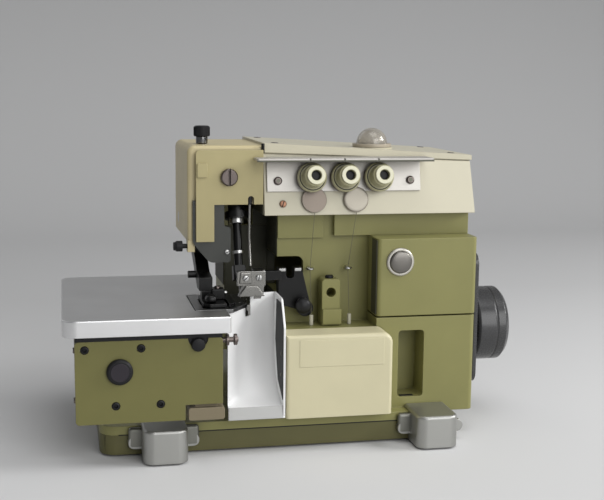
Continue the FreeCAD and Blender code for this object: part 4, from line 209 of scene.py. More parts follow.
# Lighter copy of the nickel for the face of the right disc: painted light.
LIT_NICKEL = Finish(
    "lit_nickel", METAL, (0.40, 0.37, 0.31), "bright_steel", 0.48, 0.15, 0.4, 0.01, 0.4,
    metallic=0.5,
)
DARK_STEEL = Finish(
    "blackened_steel", METAL, (0.026, 0.026, 0.026), "dark_steel", 0.36, 0.25, 0.5, 0.012, 0.4,
    wear=0.6, worn=(0.22, 0.21, 0.2),
)
SCREW = Finish(
    "burnished_screw", METAL, (0.16, 0.135, 0.125), "dark_steel", 0.34, 0.2, 0.4, 0.01, 0.5,
    wear=0.6, worn=(0.4, 0.38, 0.36),
)
SOCKET = Finish("grey_socket", METAL, (0.11, 0.11, 0.09), "dark_steel", 0.4, 0.2, 0.4, 0.01, 0.4)
CHROME = Finish("dark_chrome", METAL, (0.20, 0.20, 0.20), "dark_steel", 0.14, 0.1, 0.4, 0.004, 0.4)
BLACK = Finish(
    "black_moulding", PLASTIC, (0.012, 0.012, 0.013), "black_plastic", 0.44, 0.15, 0.5, 0.02, 0.2,
    shine=0.25,
)
# Near-black olive for thin sheets of painted shade: the deep shade behind the needle and the shadow on the
# door's left side.
SHADE_DARK = Finish(
    "painted_shade_dark", PLASTIC, (0.052, 0.052, 0.034), "black_plastic", 0.55, 0.3, 2.0, 0.04, 0.3,
    shine=0.3,
)
PLUG = Finish(
    "plum_grey_moulding", PLASTIC, (0.026, 0.022, 0.028), "black_plastic", 0.4, 0.12, 0.6, 0.02, 0.2,
    shine=0.3,
)
KNOB = Finish(
    "olive_knob", PLASTIC, (0.42, 0.40, 0.245), "knob_plastic", 0.34, 0.1, 0.8, 0.01, 0.8,
    shine=0.4,
)
KNOB_END = Finish("pale_knob_end", PLASTIC, (0.66, 0.64, 0.47), "knob_plastic", 0.28, 0.05, 0.8, 0.01, 0.3)
WHEEL = Finish(
    "charcoal_enamel", PAINT, (0.046, 0.046, 0.047), "wheel_paint", 0.26, 0.12,
    wear=0.6, worn=(0.16, 0.16, 0.16),
)
BEIGE = Finish(
    "beige_moulding", PLASTIC, (0.215, 0.18, 0.115), "beige_plastic", 0.45, 0.12, 0.6, 0.02, 0.4,
    wear=0.7, worn=(0.4, 0.36, 0.26), shine=0.3,
)
RING = Finish("amber_ring", PLASTIC, (0.40, 0.35, 0.27), "beige_plastic", 0.3, 0.08, 0.6, 0.01, 0.3)
WHITE = Finish("white_moulding", PLASTIC, (0.52, 0.50, 0.40), "white_plastic", 0.35, 0.05, 0.6, 0.01, 0.3)
BRASS = Finish("aged_brass", METAL, (0.26, 0.14, 0.09), "bright_steel", 0.4, 0.3, 0.4, 0.01, 0.6)
RUBBER = Finish("black_rubber", PLASTIC, (0.02, 0.02, 0.02), "rubber", 0.7, 0.2, 0.6, 0.05, 0.2)
SEAL = Finish("cream_seal", PLASTIC, (0.5, 0.46, 0.34), "rubber", 0.6, 0.1, 0.6, 0.02, 0.4)
DOME = Finish("clear_dome", CLEAR, (0.80, 0.76, 0.68), "clear_plastic", 0.16, 0.04, relief=0.0, clear=0.8)
SMOKED = Finish("smoked_guard", CLEAR, (0.075, 0.078, 0.07), "smoked_plastic", 0.2, clear=0.35)
THREAD = Finish("spun_thread", FIBRE, (0.16, 0.15, 0.09), "thread", 0.8, 0.1, 0.2, 0.02, 0.0)


@dataclass(frozen=True)
class Dress:
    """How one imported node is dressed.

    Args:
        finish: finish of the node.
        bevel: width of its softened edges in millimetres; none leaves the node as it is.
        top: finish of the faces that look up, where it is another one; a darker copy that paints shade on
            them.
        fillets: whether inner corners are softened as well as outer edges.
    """

    finish: Finish
    bevel: float = 0.0
    top: Finish | None = None
    fillets: bool = True


@dataclass(frozen=True)
class Spring:
    """Spring, and the joint that presses it.

    Args:
        node: name of the node.
        joint: joint that presses it.
        axis: direction in which it shortens; not used.
        anchor: point of its still end, in millimetres; not used.
        keep: share of its length left at the end of the travel; not used.
    """

    node: str
    joint: str
    axis: Point
    anchor: Point
    keep: float


SPRINGS = (
    Spring("button_spring", "button_press", (0.0, 1.0, 0.0), (95.0, -36.3, 154.0), 0.72),
    Spring("presser_spring", "presser_lift", (0.0, 0.0, 1.0), (-69.0, -22.0, 235.2), 0.943),
)

WARDROBE: dict[str, Dress] = {
    "base_pan": Dress(PAN_GREEN, 0.8),
    "foot_cups": Dress(SILVER_PAINT, 1.8),
    "foot_pads": Dress(RUBBER),
    "frame_casting": Dress(GREEN, 0.9),
    "plain_bushes": Dress(DARK_STEEL),
    "belt_guard": Dress(WHEEL, 0.6),
    "upper_housing": Dress(CREAM, 1.0, fillets=False),
    "lid_gasket": Dress(SEAL),
    "top_lid": Dress(CREAM, 0.9),
    "oil_sight_ring": Dress(RING, 0.5),
    "oil_sight_dome": Dress(DOME),
    "head_cover": Dress(HEAD_CREAM, 1.2),
    "face_plate": Dress(FACE_CREAM, 0.7),
    "face_plate_screw": Dress(SCREW, 0.25),
    "eye_guard": Dress(SMOKED),
    "guard_thumb_screw": Dress(BLACK, 0.3),
    "needle_plate": Dress(NEEDLE_STEEL, 0.25),
    "lower_knife": Dress(WORKED_STEEL),
    "presser_shaft": Dress(STEEL),
    "plate_hinge_post": Dress(WORKED_STEEL),
    "waste_chute": Dress(CHUTE),
    "cover_hinge": Dress(STEEL),
    "tension_bracket": Dress(BRACKET, 0.3),
    "bracket_screws": Dress(SCREW, 0.2),
    "tension_discs": Dress(NICKEL, 0.1),
    "tension_springs": Dress(STEEL),
    "thread_eyelets": Dress(STEEL),
    "thread_tubes": Dress(WHITE, 0.4),
    "looper_threads": Dress(THREAD),
    "thread_guide_block": Dress(GREEN, 0.6),
    "side_door": Dress(GREEN, 1.0),
    "button_bezel": Dress(RIM, 0.3),
    "main_shaft": Dress(STEEL),
    "handwheel": Dress(WHEEL, 0.6),
    "needle_con_rod": Dress(DARK_STEEL),
    "needle_rocker": Dress(DARK_STEEL),
    "needle_bar": Dress(DARK_STEEL, 0.25),
    "needle_clamp": Dress(DARK_STEEL, 0.3),
    "needle": Dress(STEEL),
    "main_feed_dog": Dress(DARK_STEEL),
    "differential_feed_dog": Dress(DARK_STEEL),
    "lower_looper": Dress(STEEL, 0.3),
    "upper_looper": Dress(STEEL, 0.3),
    "upper_knife_arm": Dress(DARK_STEEL, 0.6),
    "upper_knife": Dress(WORKED_STEEL, 0.6),
    "presser_arm": Dress(DARK_STEEL, 0.6),
    "presser_foot": Dress(DARK_STEEL, 0.4),
    "pressure_screw": Dress(BLACK, 0.4),
    # the cloth plate's top faces take the darker copy of its steel, painted shade
    "cloth_plate": Dress(PLATE, 1.0, top=SHADED_PLATE_TOP),
    "plate_skirt": Dress(SHADED_SKIRT_GREEN, 0.7),
    "skirt_plug": Dress(BLACK, 0.5),
    "plate_catch": Dress(SCREW, 0.3),
    "plate_latch": Dress(BEIGE, 0.5),
    "looper_cover": Dress(COVER_CREAM, 1.0),
    "push_button": Dress(SATIN, 0.6),
    "tension_knob_left": Dress(KNOB, 0.35),
    "tension_knob_middle": Dress(KNOB, 0.35),
    "tension_knob_right": Dress(KNOB, 0.35),
}


def set_sockets(node: bpy.types.Node, values: dict[str, float | tuple[float, ...]]) -> None:
    """Set the constants of a node's sockets by name."""
    for name, value in values.items():
        node.inputs[name].default_value = value


def add_node(
    tree: bpy.types.NodeTree, kind: str, values: dict[str, float | tuple[float, ...]] | None = None,
) -> bpy.types.Node:
    """Add a shader node and set its sockets.

    Args:
        tree: node tree to add to.
        kind: kind of node.
        values: constants of its sockets by name.

    Returns:
        The new node.
    """
    node = tree.nodes.new("ShaderNode" + kind)
    set_sockets(node, values or {})
    return node


def ranged(tree: bpy.types.NodeTree, source: Socket, values: dict[str, float]) -> Socket:
    """Map a socket from one range to another.

    Args:
        tree: node tree to add to.
        source: socket to map.
        values: ends of the ranges, by the names of the node's sockets.

    Returns:
        The socket of the mapped value.
    """
    mapped = add_node(tree, "MapRange", values)
    tree.links.new(source, mapped.inputs["Value"])
    return mapped.outputs["Result"]


@dataclass
class Recipe:
    """Node tree of one finish, while it is being made.

    Args:
        finish: the finish.
        tree: the node tree.
        place: texture coordinate node.
        softened: bevel node that rounds the shading of the edges.
    """

    finish: Finish
    tree: bpy.types.NodeTree
    place: bpy.types.Node
    softened: bpy.types.Node

    PATCH, PATCH_DETAIL = 38.0, 4.0
    PALEST = 0.9
    # Painted shade in the corners: occlusion distance and samples, the open and shut shares, and the share of
    # the colour left where it is darkest.
    CORNER, CORNER_SAMPLES = 7.0, 6
    OPEN_SHARE, SHUT_SHARE = 0.75, 0.15
    SHADE_DEPTH = 0.22
    FLAT_MATCH, EDGE_MATCH = 0.985, 0.86
    RUB, RUB_DETAIL = 6.0, 5.0
    RUB_FROM, RUB_TO = 0.42, 0.62

    def noise(self, width: float, stretch: Point, detail: float) -> Socket:
        """Add noise in object coordinates.

        Args:
            width: size of the features in millimetres.
            stretch: scale along X, Y and Z.
            detail: octaves of the noise.

        Returns:
            The socket with the noise from 0 to 1.
        """
        mapping = add_node(self.tree, "Mapping", {"Scale": stretch})
        noise = add_node(self.tree, "TexNoise", {"Scale": 1.0 / (width * MM), "Detail": detail})
        self.tree.links.new(self.place.outputs["Object"], mapping.inputs["Vector"])
        self.tree.links.new(mapping.outputs["Vector"], noise.inputs["Vector"])
        return noise.outputs["Fac"]

    def _mix(self, factor: Socket, first: Colour | Socket, second: Colour) -> Socket:
        """Mix a colour or colour socket with a second colour.

        Args:
            factor: share of the second colour.
            first: colour, or socket that gives one.
            second: second colour.

        Returns:
            The socket of the mixed colour.
        """
        mix = self.tree.nodes.new("ShaderNodeMix")
        mix.data_type = "RGBA"
        self.tree.links.new(factor, mix.inputs["Factor"])
        if isinstance(first, Socket):
            self.tree.links.new(first, mix.inputs["A"])
        else:
            mix.inputs["A"].default_value = (*first, 1.0)
        mix.inputs["B"].default_value = (*second, 1.0)
        return mix.outputs["Result"]

    def mottled(self) -> Socket:
        """Vary the base colour over the surface in broad patches.

        Returns:
            The socket of the colour.
        """
        finish = self.finish
        broad = self.noise(self.PATCH, EVEN, self.PATCH_DETAIL)
        low = tuple(value * (1.0 - finish.mottle) for value in finish.colour)
        high = tuple(min(value * (1.0 + finish.mottle), self.PALEST) for value in finish.colour)
        return self._mix(broad, low, high)

    def shade_corners(self, colour: Socket) -> Socket:
        """Paint shade into the corners, where ambient occlusion finds them hidden.

        Args:
            colour: colour so far.

        Returns:
            The socket of the colour.
        """
        hollow = add_node(self.tree, "AmbientOcclusion", {"Distance": self.CORNER * MM})
        hollow.samples = self.CORNER_SAMPLES
        share = ranged(self.tree, hollow.outputs["AO"], {
            "From Min": self.OPEN_SHARE, "From Max": self.SHUT_SHARE, "To Max": self.finish.corner_shade,
        })
        return self._mix(share, colour, tuple(value * self.SHADE_DEPTH for value in self.finish.colour))

    def worn(self, colour: Socket) -> Socket:
        """Rub the finish thin along the edges.

        Args:
            colour: colour so far.

        Returns:
            The socket of the colour.
        """
        shape = add_node(self.tree, "NewGeometry")
        match = add_node(self.tree, "VectorMath")
        match.operation = "DOT_PRODUCT"
        share = add_node(self.tree, "Math")
        share.operation = "MULTIPLY"
        edge = ranged(self.tree, match.outputs["Value"], {
            "From Min": self.FLAT_MATCH, "From Max": self.EDGE_MATCH, "To Max": self.finish.wear,
        })
        patch = self.noise(self.RUB, EVEN, self.RUB_DETAIL)
        rubbed = ranged(self.tree, patch, {"From Min": self.RUB_FROM, "From Max": self.RUB_TO})
        for source, target in (
            (shape.outputs["Normal"], match.inputs[0]), (self.softened.outputs["Normal"], match.inputs[1]),
            (edge, share.inputs[0]), (rubbed, share.inputs[1]),
        ):
            self.tree.links.new(source, target)
        return self._mix(share.outputs["Value"], colour, self.finish.worn)


@dataclass
class Painter:
    """Builds one procedural material for each finish.

    Args:
        made: materials made so far, by the name of their finish.
    """

    made: dict[str, bpy.types.Material] = field(default_factory=dict)

    ACRYLIC_IOR = 1.49
    COAT, COAT_ROUGHNESS = 0.08, 0.2
    EDGE, EDGE_SAMPLES = 0.7, 4
    GRAIN_DETAIL = 3.0
    SMOOTHER, ROUGHER, SMOOTHEST = 0.07, 0.09, 0.04
    BUMP = 0.5

    def material(self, finish: Finish) -> bpy.types.Material:
        """Give the material of a finish, making it on first use.

        Args:
            finish: the finish wanted.

        Returns:
            The material.
        """
        if finish.name not in self.made:
            self.made[finish.name] = self._make(finish)
        return self.made[finish.name]

    def _make(self, finish: Finish) -> bpy.types.Material:
        """Make the node tree of a finish.

        Args:
            finish: the finish to make.

        Returns:
            The new material.
        """
        material = bpy.data.materials.new(finish.name)
        material.use_nodes = True
        tree = material.node_tree
        shader = tree.nodes["Principled BSDF"]
        set_sockets(shader, {
            "Roughness": finish.roughness, "Specular IOR Level": finish.shine,
            "Metallic": finish.metallic if finish.kind is Surface.METAL else 0.0,
        })
        if finish.kind is Surface.CLEAR:
            set_sockets(shader, {
                "Base Color": (*finish.colour, 1.0), "Transmission Weight": finish.clear,
                "IOR": self.ACRYLIC_IOR,
            })
            return material
        if finish.kind is Surface.PAINT:
            set_sockets(shader, {"Coat Weight": self.COAT, "Coat Roughness": self.COAT_ROUGHNESS})
        softened = add_node(tree, "Bevel", {"Radius": self.EDGE * MM})
        softened.samples = self.EDGE_SAMPLES
        recipe = Recipe(finish, tree, add_node(tree, "TexCoord"), softened)
        # painted shade in the corners, over the mottled colour
        colour = recipe.shade_corners(recipe.mottled())
        if finish.wear:
            colour = recipe.worn(colour)
        grain = recipe.noise(finish.grain, finish.brush, self.GRAIN_DETAIL)
        spread = ranged(tree, grain, {
            "To Min": max(finish.roughness - self.SMOOTHER, self.SMOOTHEST),
            "To Max": finish.roughness + self.ROUGHER,
        })
        bump = add_node(tree, "Bump", {"Strength": self.BUMP, "Distance": finish.relief * MM})
        for source, target in (
            (colour, shader.inputs["Base Color"]), (spread, shader.inputs["Roughness"]),
            (grain, bump.inputs["Height"]), (softened.outputs["Normal"], bump.inputs["Normal"]),
            (bump.outputs["Normal"], shader.inputs["Normal"]),
        ):
            tree.links.new(source, target)
        return material


def bevel(shape: Shape, edges: list[bmesh.types.BMEdge], width: float, segments: int) -> None:
    """Soften edges of a shape.

    Args:
        shape: the shape.
        edges: edges to soften.
        width: width of the softened edges.
        segments: steps across each of them.
    """
    bmesh.ops.bevel(
        shape, geom=edges, offset=width, offset_type="OFFSET", segments=segments, profile=0.5,
        affect="EDGES", clamp_overlap=True, material=-1,
    )


def stand(shape: Shape, at: Point, way: Point, roll: float = 0.0) -> Shape:
    """Stand a shape at a place along a direction.

    Args:
        shape: shape made upright at the origin.
        at: place of its foot.
        way: way that its top points.
        roll: turn about its own axis first, in degrees.

    Returns:
        The same shape.
    """
    turn = Vector(UP).rotation_difference(Vector(way)).to_matrix()
    turn = turn @ Matrix.Rotation(math.radians(roll), 3, "Z")
    bmesh.ops.rotate(shape, cent=ORIGIN, matrix=turn, verts=shape.verts[:])
    bmesh.ops.translate(shape, vec=at, verts=shape.verts[:])
    return shape


@dataclass
class Bench:
    """Turns shapes into finished pieces and puts them on their bodies.

    Args:
        painter: gives the materials.
        crease: least angle of a crease in degrees.
    """

    painter: Painter
    crease: float = 38.0

    def place_in_scene(self, name: str, mesh: bpy.types.Mesh) -> bpy.types.Object:
        """Put a mesh into the scene, smooth except at its creases.

        Args:
            name: name of the object.
            mesh: its mesh.

        Returns:
            The new object.
        """
        mesh.shade_smooth()
        mesh.set_sharp_from_angle(angle=math.radians(self.crease))
        thing = bpy.data.objects.new(name, mesh)
        bpy.context.scene.collection.objects.link(thing)
        thing.modifiers.new("flat_faces_first", "WEIGHTED_NORMAL").keep_sharp = True
        return thing

    def keep(self, name: str, shape: Shape, finish: Finish, body: str) -> None:
        """Turn a shape into a finished piece that rides on a body.

        Args:
            name: name of the piece.
            shape: its shape in millimetres, used up here.
            finish: its finish.
            body: body that carries it.
        """
        bmesh.ops.scale(shape, vec=(MM, MM, MM), verts=shape.verts[:])
        mesh = bpy.data.meshes.new(name)
        shape.to_mesh(mesh)
        shape.free()
        mesh.materials.append(self.painter.material(finish))
        piece = self.place_in_scene(name, mesh)
        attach(piece, body)
        LOG.info("made %s on %s", name, body)


class Dresser:
    """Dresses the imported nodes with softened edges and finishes."""

    SAME_PLACE = 1e-6
    FLAT_ANGLE, SHARP_ANGLE = 0.6, 32.0
    BEVEL_STEPS = 2
    LEVEL = 0.9

    def __init__(self, bench: Bench) -> None:
        """Note the bench and the body of every node.

        Args:
            bench: bench that finishes the pieces.
        """
        self.bench = bench
        bodies = frame["record"]["behaviour"]["bodies"]
        self.body_of = {node: body for body, nodes in bodies.items() for node in nodes}

    def dress_all(self) -> None:
        """Dress every node of the wardrobe, and the springs."""
        for node, dress in WARDROBE.items():
            if dress.bevel:
                self._soften(node, dress)
            else:
                self._paint(frame["nodes"][node], dress.finish)
            LOG.info("dressed %s in %s", node, dress.finish.name)
        for spring in SPRINGS:
            self._shorten(spring)
            LOG.info("dressed %s, which shortens with %s", spring.node, spring.joint)

    def _paint(self, thing: bpy.types.Object, finish: Finish) -> None:
        """Give an object the material of a finish in every slot."""
        for slot in thing.material_slots:
            slot.material = self.bench.painter.material(finish)

    def _stand_in(self, node: str, mesh: bpy.types.Mesh) -> bpy.types.Object:
        """Put a mesh into the scene in the place of a node.

        Args:
            node: name of the node.
            mesh: mesh that stands in for it.

        Returns:
            The new object.
        """
        piece = self.bench.place_in_scene(node + "_dressed", mesh)
        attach(piece, self.body_of[node])
        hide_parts(node)
        return piece

    def _shorten(self, spring: Spring) -> None:
        """Stand a steel copy in for a spring.

        Args:
            spring: the spring and how it shortens.
        """
        mesh = frame["nodes"][spring.node].data.copy()
        mesh.materials.clear()
        mesh.materials.append(self.bench.painter.material(STEEL))
        piece = self._stand_in(spring.node, mesh)
        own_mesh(piece)

    def _soften(self, node: str, dress: Dress) -> None:
        """Stand a copy with bevelled edges in for a node.

        Args:
            node: name of the node.
            dress: how it is dressed.
        """
        shape = bmesh.new()
        shape.from_mesh(frame["nodes"][node].data)
        bmesh.ops.remove_doubles(shape, verts=shape.verts[:], dist=self.SAME_PLACE)
        bmesh.ops.dissolve_limit(
            shape, angle_limit=math.radians(self.FLAT_ANGLE), verts=shape.verts[:], edges=shape.edges[:],
            use_dissolve_boundaries=False,
        )
        sharp = [
            edge for edge in shape.edges
            if len(edge.link_faces) == 2 and edge.calc_face_angle(0.0) > math.radians(self.SHARP_ANGLE)
            and (dress.fillets or edge.is_convex)
        ]
        bevel(shape, sharp, dress.bevel * MM, self.BEVEL_STEPS)
        shape.normal_update()
        # faces that look up take the top finish where one is given, which paints shade on them
        for face in shape.faces:
            face.material_index = int(dress.top is not None and face.normal.z > self.LEVEL)
        mesh = bpy.data.meshes.new(node + "_soft")
        shape.to_mesh(mesh)
        shape.free()
        for finish in (dress.finish, dress.top):
            if finish:
                mesh.materials.append(self.bench.painter.material(finish))
        self._stand_in(node, mesh)


@dataclass(frozen=True)
class Piece:
    """One small piece, with its sizes in millimetres.

    Args:
        name: name of the piece.
        finish: its finish.
        body: body that carries it.
    """

    name: str
    finish: Finish
    body: str

    def shape(self) -> Shape:
        """Give the shape of the piece."""
        raise NotImplementedError

    def build(self, bench: Bench) -> None:
        """Make the piece on a bench."""
        bench.keep(self.name, self.shape(), self.finish, self.body)


@dataclass(frozen=True)
class Block(Piece):
    """Block with softened edges.

    Args:
        low: lowest corner.
        high: highest corner.
        soft: width of its softened edges.
        taper: width of its top against the width of its foot.
    """

    low: Point
    high: Point
    soft: float = 0.2
    taper: float = 1.0

    STEPS = 3

    def shape(self) -> Shape:
        """Stretch and soften a cube.

        Returns:
            The shape.
        """
        low, high = Vector(self.low), Vector(self.high)
        shape = bmesh.new()
        bmesh.ops.create_cube(shape, size=1.0)
        top = [corner for corner in shape.verts if corner.co.z > 0.0]
        bmesh.ops.scale(shape, vec=(self.taper, 1.0, 1.0), verts=top)
        bmesh.ops.scale(shape, vec=high - low, verts=shape.verts[:])
        bmesh.ops.translate(shape, vec=(low + high) / 2, verts=shape.verts[:])
        bevel(shape, shape.edges[:], self.soft, self.STEPS)
        return shape


@dataclass(frozen=True)
class Strip(Piece):
    """Strip of one outline, which runs across the machine.

    Args:
        outline: depth and height of the corners of its outline.
        start: X of one end.
        end: X of the other end.
        soft: width of its softened edges.
    """

    outline: Profile
    start: float
    end: float
    soft: float

    STEPS = 2

    def shape(self) -> Shape:
        """Extrude the outline and soften its edges.

        Returns:
            The shape.
        """
        shape = bmesh.new()
        face = shape.faces.new([shape.verts.new((self.start, *corner)) for corner in self.outline])
        swept = bmesh.ops.extrude_face_region(shape, geom=[face])["geom"]
        moved = [item for item in swept if isinstance(item, bmesh.types.BMVert)]
        bmesh.ops.translate(shape, vec=(self.end - self.start, 0.0, 0.0), verts=moved)
        bmesh.ops.recalc_face_normals(shape, faces=shape.faces[:])
        bevel(shape, shape.edges[:], self.soft, self.STEPS)
        return shape


@dataclass(frozen=True)
class Turned(Piece):
    """Piece turned about its axis.

    Args:
        profile: radius and height of the corners of its profile.
        at: place of its foot.
        way: way that its top points.
        ring: whether the last corner joins the first.
    """

    profile: Profile
    at: Point
    way: Point
    ring: bool = False

    STEPS = 48
    SAME_PLACE = 1e-4

    def shape(self) -> Shape:
        """Spin the profile and stand it in its place.

        Returns:
            The shape.
        """
        shape = bmesh.new()
        corners = [shape.verts.new((radius, 0.0, height)) for radius, height in self.profile]
        ends = corners[1:] + corners[:1] if self.ring else corners[1:]
        sides = [shape.edges.new(pair) for pair in zip(corners, ends)]
        bmesh.ops.spin(
            shape, geom=corners + sides, cent=ORIGIN, axis=UP, dvec=ORIGIN, angle=2 * math.pi,
            steps=self.STEPS, use_merge=True, use_duplicate=False,
        )
        bmesh.ops.remove_doubles(shape, verts=shape.verts[:], dist=self.SAME_PLACE)
        bmesh.ops.recalc_face_normals(shape, faces=shape.faces[:])
        return stand(shape, self.at, self.way)


@dataclass(frozen=True)
class Drum(Piece):
    """Prism with many sides or few, plain or knurled.

    Args:
        radius: radius to the corners.
        height: height.
        sides: number of sides.
        at: middle of its foot.
        way: way that its top points.
        soft: width of its softened rims.
        knurl: depth of the grooves in its sides.
    """

    radius: float
    height: float
    sides: int
    at: Point
    way: Point
    soft: float = 0.0
    knurl: float = 0.0

    STEPS = 2
    RIM_ANGLE = 60.0
    FLANK = 0.5
    RIDGE = 0.22
    ROD_SIDES = 24

    @classmethod
    def rod(
        cls, name: str, finish: Finish, body: str, radius: float, start: Point, end: Point, soft: float,
    ) -> "Drum":
        """Give a round rod between two points.

        Args:
            name: name of the piece.
            finish: its finish.
            body: body that carries it.
            radius: its radius.
            start: middle of its first end.
            end: middle of its other end.
            soft: width of its softened rims.

        Returns:
            The rod.
        """
        run = Vector(end) - Vector(start)
        way = tuple(run.normalized())
        return cls(name, finish, body, radius, run.length, cls.ROD_SIDES, start, way, soft)

    def shape(self) -> Shape:
        """Make the prism and stand it in its place.

        Returns:
            The shape.
        """
        shape = bmesh.new()
        bmesh.ops.create_cone(
            shape, cap_ends=True, cap_tris=False, segments=self.sides, radius1=self.radius,
            radius2=self.radius, depth=self.height,
        )
        bmesh.ops.translate(shape, vec=(0.0, 0.0, self.height / 2), verts=shape.verts[:])
        if self.soft:
            limit = math.radians(self.RIM_ANGLE)
            rims = [edge for edge in shape.edges if edge.calc_face_angle(0.0) > limit]
            bevel(shape, rims, self.soft, self.STEPS)
        if self.knurl:
            flanks = [face for face in shape.faces if abs(face.normal.z) < self.FLANK]
            ridge = self.RIDGE * 2 * math.pi * self.radius / self.sides
            bmesh.ops.inset_individual(
                shape, faces=flanks, thickness=ridge, depth=-self.knurl, use_even_offset=True,
            )
        return stand(shape, self.at, self.way)


class Drive(Enum):
    """Way in which a screw is turned."""

    SLOT = "slot"
    SOCKET = "socket"


@dataclass(frozen=True)
class Screw(Piece):
    """Small screw.

    Args:
        at: foot of its head.
        way: way that its head points.
        radius: radius of the head.
        height: height of the head.
        roll: turn of the slot in degrees.
        drive: way in which it is turned.
    """

    at: Point
    way: Point
    radius: float
    height: float
    roll: float = 0.0
    drive: Drive = Drive.SLOT

    def build(self, bench: Bench) -> None:
        """Make the head and the dark floor of its slot or socket.

        Args:
            bench: bench to make it on.
        """
        radius, height = self.radius, self.height
        floor_name = self.name + "_drive"
        profile = ((radius, 0.0), (radius, 0.55 * height), (0.86 * radius, 0.9 * height))
        if self.drive is Drive.SOCKET:
            dish = 0.52 * radius
            profile += ((dish, height), (dish, 0.5 * height), (0.0, 0.5 * height))
            floor = Drum(floor_name, BLACK, self.body, 0.96 * dish, 0.56 * height, 6, ORIGIN, UP)
        else:
            half = 0.14 * radius
            profile += ((0.5 * radius, height), (0.0, height))
            low, high = (-0.9 * radius, -half, 0.6 * height), (0.9 * radius, half, 1.03 * height)
            floor = Block(floor_name, BLACK, self.body, low, high, 0.05)
        Turned(self.name, self.finish, self.body, profile, self.at, self.way).build(bench)
        bench.keep(floor_name, stand(floor.shape(), self.at, self.way, self.roll), BLACK, self.body)


@dataclass(frozen=True)
class Lean:
    """Front of the upper housing, which leans back.

    Args:
        foot: Y and Z of a point of the front.
        out: direction straight out of the front.
    """

    foot: tuple[float, float] = (-53.0, 193.5)
    out: Point = (0.0, -0.9817, 0.1906)

    def at(self, across: float, height: float, proud: float = 0.0) -> Point:
        """Give a point in front of the housing.

        Args:
            across: X of the point.
            height: Z of its foot on the front.
            proud: distance from the front.

        Returns:
            The point.
        """
        depth = self.foot[0] - (height - self.foot[1]) * self.out[2] / self.out[1]
        return (across, depth + proud * self.out[1], height + proud * self.out[2])


LEAN = Lean()
Pieces = tuple[Piece, ...]


@dataclass
class Trim:
    """Sub-assembly of small pieces.

    Args:
        pieces: its pieces, with their sizes.
    """

    pieces: Pieces = ()

    def build(self, bench: Bench) -> None:
        """Make every piece on a bench."""
        for piece in self.pieces:
            piece.build(bench)


# Name, finish, profile and closing of each ring of a knob, with heights above the housing.
RINGS = (
    ("_eye", BLACK, ((0.0, 22.5), (4.1, 22.5), (4.1, 23.0), (2.46, 23.2), (0.0, 23.2)), False),
    ("_rim", KNOB_END, ((4.4, 26.95), (7.7, 26.95), (7.5, 27.23), (4.6, 27.23)), True),
    ("_back", BLACK, ((7.9, 7.05), (12.2, 7.05), (12.2, 8.05), (7.9, 8.05)), True),
    ("_groove", BLACK, ((10.5, 11.95), (11.3, 11.95), (11.3, 12.07), (10.5, 12.07)), True),
)


@dataclass
class TensionTrim(Trim):
    """Eyes and rings of the tension knobs, and of their bracket a strip of painted shade along the lip,
    sockets, and a disc face in painted light.
    """

    pieces: Pieces = (
        *(
            Turned(body + name, finish, body, profile, LEAN.at(across, 224.0), LEAN.out, ring)
            for body, across in (("knob_left", 19.6), ("knob_middle", 48.8), ("knob_right", 78.0))
            for name, finish, profile, ring in RINGS
        ),
        # dark strip of painted shade along the front edge of the bracket's lip
        Block("lip_edge_shade", SOCKET, FRAME, (-29.3, -70.3, 239.7), (122.2, -69.75, 241.1)),
        Drum("bracket_socket_left", SOCKET, FRAME, 1.9, 0.12, 6, LEAN.at(-8.3, 222.0, 4.38), LEAN.out),
        Drum("bracket_socket_right", SOCKET, FRAME, 1.9, 0.12, 6, LEAN.at(107.6, 222.0, 4.38), LEAN.out),
        # lighter face on the right disc, painted light
        Turned(
            "small_disc_lit_face", LIT_NICKEL, FRAME,
            ((0.0, 0.0), (10.3, 0.0), (10.0, 0.2), (8.24, 0.26), (0.0, 0.2)),
            LEAN.at(59.0, 206.0, 2.85), LEAN.out,
        ),
    )


@dataclass
class HeadTrim(Trim):
    """Knurled pressure screw, pin, thread guide rod and screws of the head."""

    pieces: Pieces = (
        Drum("pressure_grip", BLACK, PRESSURE, 6.95, 7.2, 36, (-69.0, -22.0, 259.2), UP, knurl=0.35),
        Drum("pressure_neck", CHROME, PRESSURE, 5.0, 5.7, 40, (-69.0, -22.0, 252.6), UP, 0.4),
        Drum.rod("head_pin", DARK_STEEL, FRAME, 1.4, (-20.7, -47.0, 245.8), (-20.7, -47.0, 253.7), 0.4),
        Drum.rod("guide_grip", BLACK, FRAME, 2.1, (-32.3, -49.6, 210.2), (-32.3, -49.6, 203.0), 0.7),
        Drum.rod("guide_rod", WORKED_STEEL, FRAME, 1.1, (-32.3, -49.6, 203.0), (-32.6, -49.6, 173.5), 0.3),
        Drum.rod("guide_finger", WORKED_STEEL, FRAME, 1.1, (-32.6, -49.6, 173.5), (-33.6, -62.0, 152.5), 0.3),
        Screw("guard_screw", STEEL, FRAME, (-51.2, -48.45, 162.8), AHEAD, 2.2, 1.4, 25.0),
        Screw("thread_screw", BRASS, FRAME, LEAN.at(-4.1, 203.1), LEAN.out, 3.0, 1.8, 70.0),
    )


